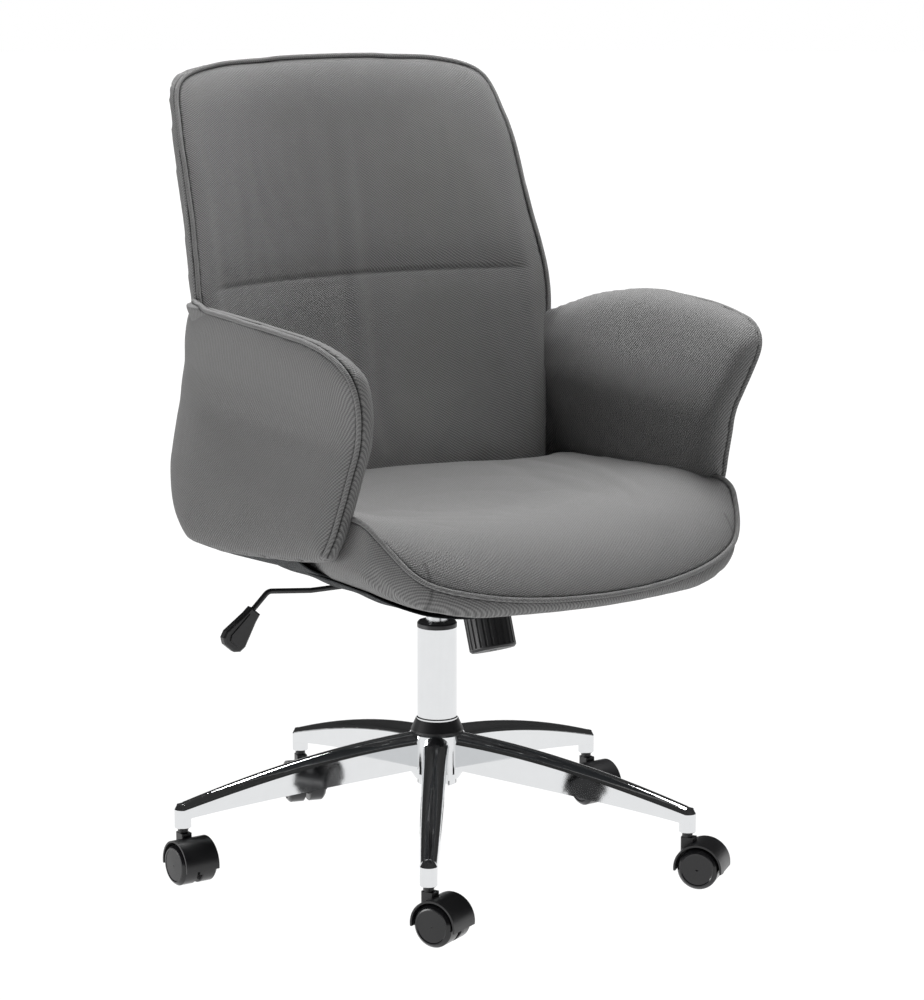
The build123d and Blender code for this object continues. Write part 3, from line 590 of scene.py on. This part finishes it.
def woven(name, dark, light, warm=0.0, period=0.0024, depth=0.00035, sheen=0.15):
    """Twill: diagonal ribs broken by the threads that cross them, over yarns of slightly different greys, with painted
    shade along welts and seams.
    """
    material, tree, shader = nodes_of(name)
    where = add(tree, "ShaderNodeAttribute", attribute_name="weave").outputs["Vector"]
    seam = add(tree, "ShaderNodeAttribute", attribute_name="seam").outputs["Fac"]
    wander = add(tree, "ShaderNodeTexNoise", {"Vector": where, "Scale": 60.0, "Detail": 2.0})
    place = add(tree, "ShaderNodeVectorMath", {0: wander.outputs["Color"], "Scale": period * 0.5}, operation="SCALE")
    place = add(tree, "ShaderNodeVectorMath", {0: where, 1: place.outputs[0]}, operation="ADD").outputs[0]
    axes = add(tree, "ShaderNodeSeparateXYZ", {0: place})
    u = math_node(tree, "MULTIPLY", axes.outputs[0], 1 / period)
    v = math_node(tree, "MULTIPLY", axes.outputs[1], 1 / period)
    rib = math_node(tree, "SINE", math_node(tree, "MULTIPLY", math_node(tree, "ADD", u, v), 2 * math.pi))
    thread = math_node(tree, "SINE", math_node(tree, "MULTIPLY", math_node(tree, "SUBTRACT", u, v), 2 * math.pi))
    height = math_node(tree, "ADD", rib, math_node(tree, "MULTIPLY", thread, 0.45))
    shade = math_node(tree, "MULTIPLY_ADD", height, 0.28)
    tree.nodes[-1].inputs[2].default_value = 0.5
    yarn = add(tree, "ShaderNodeTexNoise", {"Vector": where, "Scale": 900.0, "Detail": 2.0, "Roughness": 0.7})
    cloud = add(tree, "ShaderNodeTexNoise", {"Vector": where, "Scale": 9.0, "Detail": 3.0})
    base = mix(tree, shade, grey(dark, warm), grey(light, warm))
    base = mix(tree, 0.45, base, ramp(tree, yarn.outputs["Fac"], [(0.3, grey(0.55)), (0.7, grey(1.0))]), "MULTIPLY")
    base = mix(tree, 0.35, base, ramp(tree, cloud.outputs["Fac"], [(0.3, grey(0.82)), (0.7, grey(1.0))]), "MULTIPLY")
    # Painted shade: the seam attribute darkens the cloth towards near black in the creases beside welts and seams.
    base = mix(tree, math_node(tree, "MULTIPLY", seam, 0.85), base, grey(dark * 0.16))
    tree.links.new(base, shader.inputs["Base Color"])
    rough = ramp(tree, cloud.outputs["Fac"], [(0.2, grey(0.78)), (0.8, grey(0.92))])
    tree.links.new(rough, shader.inputs["Roughness"])
    shader.inputs["Sheen Weight"].default_value = sheen
    shader.inputs["Sheen Roughness"].default_value = 0.45
    shader.inputs["Specular IOR Level"].default_value = 0.25
    fuzz = math_node(tree, "ADD", height, math_node(tree, "MULTIPLY", yarn.outputs["Fac"], 1.5))
    bump = add(tree, "ShaderNodeBump", {"Height": fuzz, "Distance": depth, "Strength": 0.8})
    tree.links.new(bump.outputs[0], shader.inputs["Normal"])
    return material


def metal(name, colour, rough, spread, scale=40.0, bump=0.00002, metallic=1.0):
    """Metal with faint smears in its polish and fine surface grain."""
    material, tree, shader = nodes_of(name)
    where = add(tree, "ShaderNodeTexCoord").outputs["Object"]
    smear = add(tree, "ShaderNodeTexNoise", {"Vector": where, "Scale": scale, "Detail": 5.0, "Roughness": 0.6})
    fine = add(tree, "ShaderNodeTexNoise", {"Vector": where, "Scale": scale * 30, "Detail": 2.0})
    tree.links.new(
        ramp(tree, smear.outputs["Fac"], [(0.3, grey(rough)), (0.75, grey(rough + spread))]), shader.inputs["Roughness"]
    )
    tint = mix(tree, smear.outputs["Fac"], tuple(c * 0.94 for c in colour), colour)
    tree.links.new(tint, shader.inputs["Base Color"])
    shader.inputs["Metallic"].default_value = metallic
    relief = add(tree, "ShaderNodeBump", {"Height": fine.outputs["Fac"], "Distance": bump, "Strength": 0.3})
    tree.links.new(relief.outputs[0], shader.inputs["Normal"])
    return material


def plastic(name, colour, rough, grain=0.00006, scale=1400.0, spread=0.12):
    """Moulded plastic: a fine spark-eroded grain and slightly rubbed gloss."""
    material, tree, shader = nodes_of(name)
    where = add(tree, "ShaderNodeTexCoord").outputs["Object"]
    fine = add(tree, "ShaderNodeTexNoise", {"Vector": where, "Scale": scale, "Detail": 3.0})
    rub = add(tree, "ShaderNodeTexNoise", {"Vector": where, "Scale": 35.0, "Detail": 4.0})
    tree.links.new(
        ramp(tree, rub.outputs["Fac"], [(0.3, grey(rough)), (0.8, grey(rough + spread))]), shader.inputs["Roughness"]
    )
    tint = mix(tree, rub.outputs["Fac"], colour, tuple(min(1, c * 1.35 + 0.002) for c in colour))
    tree.links.new(tint, shader.inputs["Base Color"])
    relief = add(tree, "ShaderNodeBump", {"Height": fine.outputs["Fac"], "Distance": grain, "Strength": 0.5})
    tree.links.new(relief.outputs[0], shader.inputs["Normal"])
    return material


def wood(name):
    """Birch plywood: bands along the grain with fine pores."""
    material, tree, shader = nodes_of(name)
    where = add(tree, "ShaderNodeTexCoord").outputs["Object"]
    stretched = add(tree, "ShaderNodeMapping", {"Vector": where, "Scale": (4.0, 60.0, 60.0)}).outputs[0]
    grain = add(tree, "ShaderNodeTexNoise", {"Vector": stretched, "Scale": 2.0, "Detail": 6.0})
    tint = ramp(tree, grain.outputs["Fac"], [(0.3, (0.42, 0.29, 0.17)), (0.7, (0.62, 0.47, 0.30))])
    tree.links.new(tint, shader.inputs["Base Color"])
    shader.inputs["Roughness"].default_value = 0.65
    relief = add(tree, "ShaderNodeBump", {"Height": grain.outputs["Fac"], "Distance": 0.0003, "Strength": 0.4})
    tree.links.new(relief.outputs[0], shader.inputs["Normal"])
    return material


FABRIC = woven("grey_twill", 0.085, 0.275, warm=0.004, period=0.0040)
WELTING = woven("grey_twill_welt", 0.105, 0.295, warm=0.004, period=0.0030, depth=0.0003)
DUST_COVER = woven("dust_cover_cloth", 0.012, 0.030, warm=-0.12, period=0.0014, depth=0.0002, sheen=0.1)
FINISHES = {
    "chrome": metal("chrome", (0.74, 0.75, 0.76), 0.03, 0.05),
    "cylinder_steel": metal("cylinder_steel", (0.62, 0.63, 0.64), 0.16, 0.12),
    "bare_steel": metal("bare_steel", (0.55, 0.55, 0.54), 0.25, 0.15),
    "black_steel": plastic("black_steel", (0.012, 0.012, 0.013), 0.34, grain=0.00004),
    "spring_steel": metal("spring_steel", (0.30, 0.30, 0.31), 0.30, 0.15),
    "zinc": metal("zinc", (0.60, 0.61, 0.60), 0.30, 0.15),
    "black_plastic": plastic("black_plastic", (0.010, 0.010, 0.011), 0.38),
    "caster_nylon": plastic("caster_nylon", (0.008, 0.008, 0.009), 0.30, grain=0.00004),
    "wheel_nylon": plastic("wheel_nylon", (0.006, 0.006, 0.007), 0.16, grain=0.00001, spread=0.08),
    "plywood": wood("plywood"),
}


def paint(obj, material):
    obj.data.materials.clear()
    obj.data.materials.append(material)


def soft(obj, material, replaces=()):
    """Finishes an upholstery piece: it rides on the seat and stands for its CAD solids."""
    move_vertices(obj, np.array([0, 0, -FLOOR]))
    paint(obj, material)
    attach(obj, "seat")
    if replaces:
        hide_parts(*replaces)
    return obj


# Arms


def arm_outline(side, count):
    """Bottom, top, front and rear edges of an arm's outer panel."""
    front = through(ARM_FRONT, count)
    top = through(ARM_TOP[side], count * 2)
    bottom = through(ARM_BOTTOM, count * 2)
    rear = np.stack([np.full(count, ARM_SEAM), np.linspace(ARM_BOTTOM[-1][1], ARM_TOP[side][-1][1], count)], -1)
    return bottom, top, front, rear


def grown(domain, by):
    """A flat grid, stretched from its middle to pass its edges by a little."""
    middle = (domain.reshape(-1, 2).max(0) + domain.reshape(-1, 2).min(0)) / 2
    half = (domain.reshape(-1, 2).max(0) - domain.reshape(-1, 2).min(0)) / 2
    return middle + (domain - middle) * (1 + by / half)


def arm_panel(side, name):
    """Outer panel: smooth cloth over a thin pad, pulled in at its welt and its seams."""
    domain = coons(*arm_outline(side, 50))
    away = edge_distance(domain, border(domain))
    bulge = 0.0085 + 0.0040 * np.clip((-0.05 - domain[..., 0]) / 0.15, 0, 1)
    swell = -0.0045 + bulge * (1 - np.exp(-away / 0.017))
    wide = grown(domain, 0.0016)
    outer = mirrored(tub_points(wide[..., 0], wide[..., 1], swell), side)
    inner = mirrored(tub_points(wide[..., 0], wide[..., 1], -0.0135), side)
    obj = slab(f"{name}_panel", outer, inner)
    edge = mirrored(tub_points(*border(domain).T, -0.0045), side)
    simulate(obj, lambda p: np.clip(near(p, edge, 0.010) + 0.15, 0, 1), pressure=3, limit=0.003, voxel=0.0045)
    return obj


def arm_pad(side, name):
    """Inner pad: rolls over the front and top of the arm to the welt."""
    reach = 0.150
    top_end = ARM_TOP[side][-3 if side > 0 else -2][1]
    front = through(ARM_FRONT, 50)
    top = through([p for p in ARM_TOP[side] if p[0] < 0.140] + [(reach, top_end)], 100)
    bottom = through([p for p in ARM_BOTTOM if p[0] < 0.09] + [(reach, 0.440)], 100)
    rear = np.stack([np.full(50, reach), np.linspace(0.440, top_end, 50)], -1)
    domain = coons(bottom, top, front, rear)
    line = np.vstack([front, top[1:]])
    away = edge_distance(domain, line)
    wide = grown(domain, 0.0034)
    y, z = wide[..., 0], wide[..., 1]
    face = arm_face(y, z)
    crown = 0.004 * (1 - np.exp(-away / 0.05))
    inside = face - 0.0135 - (PAD_THICKNESS - 0.0115) * roll(away, 0.021) - crown
    corner = 0.045 * np.clip((y - 0.075) / 0.075, 0, 1) ** 2
    inner = np.stack([side * np.minimum(inside, face - 0.0145 - corner), y, z], -1)
    outer = np.stack([side * (face - 0.0045 - corner), y, z], -1)
    obj = slab(f"{name}_pad", outer, inner)
    welt = np.stack([side * (arm_face(*line.T) - 0.0055), line[:, 0], line[:, 1]], -1)
    simulate(obj, lambda p: np.clip(near(p, welt, 0.008) + 0.12, 0, 1), pressure=4, limit=0.004, voxel=0.0045)
    return obj


def arm(side, name):
    """The outer panel, the inner pad and the welt that is sewn between them."""
    panel, pad = arm_panel(side, name), arm_pad(side, name)
    top, front, rear = arm_outline(side, 90)[1:]
    line = np.vstack([front, top[1:]])
    path = bed(mirrored(tub_points(line[:, 0], line[:, 1], -0.0020), side), panel, pad, sink=0.0006)
    seam = mirrored(tub_points(rear[:, 0], rear[:, 1], 0.0), side)
    for obj, solid in ((panel, f"{name}_panel"), (pad, f"{name}_pad")):
        p = corners_of(obj)
        # Painted shade: darker cloth beside the welt and, fainter, along the rear seam, where shade falls in their
        # creases.
        seam_shade = np.maximum(crease(p, path), 0.7 * crease(p, seam, 0.0012, 0.0020))
        set_weave(obj, p[:, 1] - abs(p[:, 0]), p[:, 2] + 0.3 * abs(p[:, 0]), seam_shade)
        soft(obj, FABRIC, [solid])
    welt = tube(f"{name}_welt", path, WELT_RADIUS)
    p = corners_of(welt)
    set_weave(welt, p[:, 1] - abs(p[:, 0]), p[:, 2] + abs(p[:, 0]))
    soft(welt, WELTING, [f"{name}_piping"])


for side, name in ((1, "arm_left"), (-1, "arm_right")):
    arm(side, name)


# Back


def back_domain(table, top_rows, low, count):
    """Flat x, z grid of a back layer: its sides follow the half widths and its top the given curve."""
    z = np.linspace(low, top_rows[0][1], count)
    side = np.stack([smooth(z, table, 1), z], -1)
    top = through(with_mirror(top_rows), count * 2)
    bottom = np.stack([np.linspace(-side[0, 0], side[0, 0], count * 2), np.full(count * 2, low)], -1)
    left = side * np.array([-1, 1])
    top[0], top[-1] = left[-1], side[-1]
    return coons(bottom, top, left, side)


def bowed(x, z, table, side_column, middle_column, power=2.2):
    """Depth of a surface that bows between its sides and its middle."""
    half = smooth(z, table, 1)
    side_y, middle_y = smooth(z, table, side_column), smooth(z, table, middle_column)
    return middle_y - (middle_y - side_y) * np.clip(abs(x) / half, 0, 1.2) ** power


def back_cushion():
    domain = back_domain(BACK, BACK_TOP, 0.446, 70)
    x, z = domain[..., 0], domain[..., 1]
    line = np.vstack([domain[:, 0], domain[-1, 1:], domain[-2::-1, -1]])
    away = edge_distance(domain, line)
    front_y = bowed(x, z, BACK, 2, 3) + 0.011 * (1 - roll(away, 0.024))
    crown = 0.006 * (1 - np.exp(-away / 0.06))
    rear_y = np.maximum(bowed(x, z, BACK, 2, 3) + smooth(z, BACK, 4), front_y + 0.008)
    x = x * (1 + 0.0045 / 0.245)
    front = np.stack([x, front_y - crown + 0.003, z], -1)
    rear = np.stack([x, rear_y, z], -1)
    obj = slab("back_front_cushion", front, rear)
    welt = through(with_mirror(BACK_WELT), 200)
    simulate(obj, lambda p: np.clip(near(p, welt, 0.012) + 0.10, 0, 1), pressure=4, limit=0.006)
    p = corners_of(obj)
    facing = p[:, 1] < bowed(p[:, 0], p[:, 2], BACK, 2, 3) + 0.018
    fade = np.clip((0.236 - abs(p[:, 0])) / 0.03, 0, 1) * facing
    height = p[:, 2] - SEAM_HEIGHT
    channel = 0.0022 * np.exp(-((height / 0.0035) ** 2)) + 0.0030 * np.exp(-((height / 0.020) ** 2))
    move_vertices(obj, np.stack([0 * height, channel * fade, 0 * height], -1))
    # Also returns a painted shade line along the bottom of the sewn seam channel.
    return obj, 0.45 * np.exp(-((height / 0.0012) ** 2)) * fade


def upper_rear():
    domain = back_domain(REAR, REAR_TOP, 0.632, 66)
    x, z = domain[..., 0], domain[..., 1]
    line = np.vstack([domain[:, 0], domain[-1, 1:], domain[-2::-1, -1]])
    away = edge_distance(domain, line)
    flat = bowed(x, z, REAR, 2, 3, 2.4)
    front = bowed(x, z, BACK, 2, 3) + 0.012
    rear_y = front + 0.011 + (flat - front - 0.009) * roll(away, 0.030)
    rear = np.stack([x, rear_y, z], -1)
    inner = np.stack([x, np.minimum(front, rear_y - 0.009), z], -1)
    obj = slab("back_upper_rear", rear, inner)
    welt = through(with_mirror(BACK_WELT), 200)
    simulate(obj, lambda p: np.clip(near(p, welt, 0.010) + 0.2, 0, 1), pressure=3, limit=0.003)
    return obj


def rear_edges(f):
    """Heights of the lower rear panel's bottom and top edges, f from -1 at the right to 1 at the left."""
    low, high = REAR_MIDDLE
    bottom = low + (ARM_BOTTOM[-1][1] - low) * abs(f) ** 2.5
    corner = np.where(f > 0, ARM_TOP[1][-1][1], ARM_TOP[-1][-1][1])
    return bottom, high + (corner - high) * abs(f) ** 1.8


def lower_rear():
    """The rear of the tub between the seams of the arm panels, and the welt along its top."""
    rows, cols = 50, 120
    v = np.linspace(0, 1, rows)[:, None]
    f = np.linspace(-1, 1, cols)[None, :]
    bottom, top = rear_edges(f)
    z = bottom + (top - bottom) * v
    end = np.interp(z, TUB_LEVELS, TUB_END)
    reach = end - ARM_SEAM
    s = end - abs(f) * reach
    domain = np.stack([f * reach, z], -1)
    away = edge_distance(domain, border(domain))
    swell = -0.0045 + 0.0085 * (1 - np.exp(-away / 0.022))
    flip = np.where(f < 0, -1, 1)[..., None] * np.array([1, 0, 0]) + np.array([0, 1, 1])
    outer = tub_points(s - 0.0016 * abs(f) ** 8, z, swell) * flip
    inner = tub_points(s - 0.0016 * abs(f) ** 8, z, -0.0135) * flip
    obj = slab("back_lower_rear", outer, inner)
    edge = border(tub_points(s, z, -0.0045) * flip)
    simulate(obj, lambda p: np.clip(near(p, edge, 0.010) + 0.15, 0, 1), pressure=3, limit=0.003)
    path = bed(tub_points(s[-1], z[-1] + 0.0012, -0.0025) * flip[0], obj, sink=0.0010)
    p = corners_of(obj)
    # Painted shade: darker cloth beside the welt and, fainter, along the panel's seams.
    set_weave(obj, p[:, 0], p[:, 2], np.maximum(crease(p, path), 0.7 * crease(p, edge, 0.0012, 0.0020)))
    soft(obj, FABRIC, ())
    welt = tube("back_rear_welt", path, WELT_RADIUS)
    p = corners_of(welt)
    set_weave(welt, p[:, 0], p[:, 2] + p[:, 1])
    soft(welt, WELTING)


def back():
    """Front cushion and rear panel of the back, and the welt sewn between them."""
    front, seam_channel_shade = back_cushion()
    rear = upper_rear()
    path = bed(through(with_mirror(BACK_WELT), 320), front, rear, sink=0.0006)
    p = corners_of(front)
    # Painted shade beside the welt and in the sewn seam channel.
    set_weave(front, p[:, 0], p[:, 2] + p[:, 1], np.maximum(crease(p, path), seam_channel_shade))
    soft(front, FABRIC, ["back_cushion"])
    p = corners_of(rear)
    # Painted shade beside the welt.
    set_weave(rear, p[:, 0] + 0.5 * p[:, 1], p[:, 2] + p[:, 1] * 0.3, crease(p, path))
    soft(rear, FABRIC, ["back_rear_panel", "back_board"])
    welt = tube("back_welt", path, WELT_RADIUS * 0.9)
    p = corners_of(welt)
    set_weave(welt, p[:, 0] + p[:, 1], p[:, 2] + p[:, 1])
    soft(welt, WELTING, ["back_piping"])


back()
lower_rear()


# Seat


def fuller(points):
    """The seat's left front corner is stuffed out a little further than its right one."""
    x, y = points[..., 0], points[..., 1]
    swell = 0.014 * np.clip(x / 0.25, 0, 1) ** 3 * np.exp(-(((y + 0.280) / 0.055) ** 2))
    return points + swell[..., None] * np.array([1, 0, 0])


def seat_cushion():
    half = SEAT[-1][0]
    xs = half * np.sin(np.linspace(-math.pi / 2, math.pi / 2, 91))
    sections = []
    for x in xs:
        front, welt, under, crest, dish, rear, rear_top = (smooth(abs(x), SEAT, k) for k in range(1, 8))
        lift = crest - welt
        top = through(
            [
                (front, welt),
                (front + 0.010, welt + 0.30 * lift),
                (front + 0.034, welt + 0.68 * lift),
                (front + 0.068, welt + 0.91 * lift),
                (front + 0.110, crest),
                (-0.060, dish),
                (rear, rear_top),
            ],
            70,
        )
        boxing = [(rear, under), (front + 0.060, under), (front + 0.016, under), (front + 0.003, (under + welt) / 2)]
        section = np.vstack([boxing, top])
        sections.append(np.column_stack([np.full(len(section), x), section]))
    obj = loft("seat_top_cushion", fuller(np.array(sections)))
    welt_line = fuller(through(with_mirror(SEAT_WELT), 240))
    simulate(obj, lambda p: np.clip(near(p, welt_line, 0.012) + 0.10, 0, 1), pressure=4, limit=0.007)
    path = bed(welt_line, obj, sink=0.0008)
    p = corners_of(obj)
    # Painted shade: darker cloth beside the welt and along the short boxing seams on the front edge.
    seam_shade = crease(p, path)
    for x, y in BOXING_SEAMS:
        front = p[:, 1] < y + 0.030
        under = p[:, 2] < np.interp(abs(x), [0.0, 0.14, 0.25], [0.417, 0.427, 0.49])
        seam_shade = np.maximum(seam_shade, 0.6 * np.exp(-(((p[:, 0] - x) / 0.0016) ** 2)) * front * under)
    set_weave(obj, p[:, 0] + 0.4 * p[:, 2], p[:, 1] + p[:, 2], seam_shade)
    soft(obj, FABRIC, ["seat_cushion", "seat_board"])
    welt = tube("seat_welt", path, WELT_RADIUS)
    p = corners_of(welt)
    set_weave(welt, p[:, 0] + p[:, 1], p[:, 2] + p[:, 1])
    soft(welt, WELTING, ["seat_piping"])


def dust_cover():
    """Thin cloth stapled under the seat, slightly slack, with the mechanism's window."""
    window_x, window_front, window_rear = 0.097, -0.144, 0.092
    edge = COVER[-1][0]
    xs = np.unique(np.r_[np.linspace(-edge, edge, 90), -window_x, window_x])
    ys = np.unique(np.r_[np.linspace(0, 1, 90)])
    grid = np.zeros((len(ys), len(xs), 3))
    for j, x in enumerate(xs):
        front, rear, top = (smooth(abs(x), COVER, k) for k in (1, 2, 3))
        y = front + (rear - front) * ys
        slack = 0.0012 * np.sin(x * 95 + 2 * y) * np.sin(y * 60 + 1.3)
        grid[:, j] = np.stack([np.full_like(y, x), y, np.full_like(y, top - 0.0025) + slack], -1)
    rows, cols = grid.shape[:2]
    faces = []
    for face in grid_faces(rows, cols):
        middle = grid.reshape(-1, 3)[list(face)].mean(0)
        if abs(middle[0]) > window_x or not window_front < middle[1] < window_rear:
            faces.append(face)
    obj = new_mesh("dust_cover", grid.reshape(-1, 3), faces)
    solid = obj.modifiers.new("thickness", "SOLIDIFY")
    solid.thickness = 0.0012
    bpy.context.view_layer.objects.active = obj
    bpy.ops.object.modifier_apply(modifier="thickness")
    p = corners_of(obj)
    set_weave(obj, p[:, 0], p[:, 1])
    return soft(obj, DUST_COVER, ["underside_cover"])


def hem():
    """Dark cloth from the lower edge of the arms and the rear to the edge of the dust cover."""
    side_line = through(ARM_BOTTOM, 200)
    s = np.linspace(-0.130, ARM_SEAM, 90)
    outer = tub_points(s, np.interp(s, side_line[:, 0], side_line[:, 1]) + 0.001, -0.0060)
    f = np.linspace(1, 0, 50)[1:]
    low = rear_edges(-f)[0]
    end = np.interp(low, TUB_LEVELS, TUB_END)
    outer = np.vstack([outer, tub_points(end - f * (end - ARM_SEAM), low + 0.001, -0.0060)])
    cover_edge = [(0.228, -0.130), (0.222, -0.05), (0.208, 0.06), (0.185, 0.100), (0.12, 0.132), (0.0, 0.148)]
    inner_line = through(cover_edge, 300)
    t = np.linspace(0, 1, len(outer))
    inner = np.stack([np.interp(t, np.linspace(0, 1, 300), inner_line[:, k]) for k in (0, 1)], -1)
    inner = np.column_stack([inner, smooth(inner[:, 0], COVER, 3) - 0.0005])
    outer = np.vstack([outer, (outer * [-1, 1, 1])[-2::-1]])
    inner = np.vstack([inner, (inner * [-1, 1, 1])[-2::-1]])
    across = np.linspace(0, 1, 10)[:, None, None]
    sheet = outer * (1 - across) + inner * across
    sheet[..., 2] -= 0.004 * np.sin(math.pi * across[..., 0])
    obj = slab("underside_hem", sheet, sheet + np.array([0, 0, 0.002]))
    p = corners_of(obj)
    set_weave(obj, p[:, 0], p[:, 1])
    soft(obj, DUST_COVER)


seat_cushion()
dust_cover()
hem()


# Hard parts keep their CAD meshes and take a finish from their material slot.
SOFT_SLOTS = ("upholstery", "piping", "dust_cover")
for entry in frame["record"]["subparts"]:
    if entry["material_slot"] not in SOFT_SLOTS:
        paint(frame["nodes"][entry["node"]], FINISHES[entry["material_slot"]])


# Floor, light and camera
def floor():
    """Pale glowing floor, as on a photographer's light table."""
    turn = np.linspace(0, 2 * math.pi, 96, endpoint=False)
    radii = (0.4, 1.2, 3.0, 8.0, 20.0)
    rings = [np.stack([r * np.cos(turn), r * np.sin(turn), 0 * turn], -1) for r in radii]
    obj = loft("studio_floor", np.array(rings))
    obj.data.polygons.foreach_set("use_smooth", [False] * len(obj.data.polygons))
    material, tree, shader = nodes_of("studio_floor")
    where = add(tree, "ShaderNodeTexCoord").outputs["Object"]
    tone = add(tree, "ShaderNodeTexNoise", {"Vector": where, "Scale": 2.0, "Detail": 2.0})
    tree.links.new(ramp(tree, tone.outputs["Fac"], [(0.3, grey(0.19)), (0.7, grey(0.21))]), shader.inputs["Base Color"])
    shader.inputs["Roughness"].default_value = 0.7
    shader.inputs["Emission Color"].default_value = (1, 1, 1, 1)
    shader.inputs["Emission Strength"].default_value = 0.80
    paint(obj, material)


def dark_ring():
    """Black cloth round the studio that only the polished metal mirrors."""
    count, radius, heights = 64, 2.0, (0.62, 1.1, 1.8)
    turn = np.linspace(0, 2 * math.pi, count, endpoint=False)
    rings = [np.stack([radius * np.cos(turn), radius * np.sin(turn), 0 * turn + z], -1) for z in heights]
    faces = [
        (i * count + j, i * count + (j + 1) % count, (i + 1) * count + (j + 1) % count, (i + 1) * count + j)
        for i in range(len(heights) - 1)
        for j in range(count)
    ]
    obj = new_mesh("studio_flags", np.array(rings).reshape(-1, 3), faces)
    material, _, shader = nodes_of("studio_flags")
    shader.inputs["Base Color"].default_value = (0.01, 0.01, 0.01, 1)
    shader.inputs["Roughness"].default_value = 1.0
    paint(obj, material)
    obj.visible_camera = obj.visible_diffuse = obj.visible_shadow = obj.visible_transmission = False


def soft_box(name, place, aim, size, power):
    light = bpy.data.lights.new(name, "AREA")
    light.shape = "RECTANGLE"
    light.size, light.size_y = size
    light.energy = power
    obj = bpy.data.objects.new(name, light)
    obj.location = place
    from_aim = np.array(place, float) - np.array(aim, float)
    obj.rotation_euler = mathutils.Vector(from_aim).to_track_quat("Z", "Y").to_euler()
    bpy.context.scene.collection.objects.link(obj)


def camera():
    """A long lens, 32 degrees to the chair's right of straight ahead and 11 degrees up."""
    lens = bpy.data.cameras.new("camera")
    lens.sensor_width = 36
    lens.lens = 114.84
    lens.shift_x = 0.02495
    lens.shift_y = 0.01328
    obj = bpy.data.objects.new("camera", lens)
    azimuth, elevation, distance = math.radians(-32), math.radians(11.1496), 3.9672
    aim = np.array([0, 0, 0.45 - FLOOR])
    back = np.array(
        [math.sin(azimuth) * math.cos(elevation), -math.cos(azimuth) * math.cos(elevation), math.sin(elevation)]
    )
    obj.location = aim + back * distance
    obj.rotation_euler = (math.pi / 2 - elevation, 0, azimuth)
    bpy.context.scene.collection.objects.link(obj)
    bpy.context.scene.camera = obj


floor()
dark_ring()
soft_box("left", (-3.2, 1.2, 0.32), (-0.2, 0, 0.5), (2.2, 0.6), 46)
soft_box("top", (0.5, -0.30, 3.0), (0, -0.1, 0.4), (1.8, 1.5), 78)
soft_box("rear", (0.2, 1.20, 3.0), (0, -0.1, 0.4), (1.2, 1.2), 92)
soft_box("front", (1.8, -3.2, 1.5), (0, 0, 0.5), (2.0, 2.0), 2)
world = bpy.data.worlds.new("studio")
world.use_nodes = True
tree = world.node_tree
sky = add(tree, "ShaderNodeSeparateXYZ", {0: add(tree, "ShaderNodeTexCoord").outputs["Generated"]}).outputs[2]
shade = ramp(tree, sky, [(0.0, grey(1.0)), (0.08, grey(0.04))])
tree.links.new(shade, tree.nodes["Background"].inputs[0])
tree.nodes["Background"].inputs[1].default_value = 1.0
bpy.context.scene.world = world
bpy.context.scene.view_settings.view_transform = "Standard"
camera()
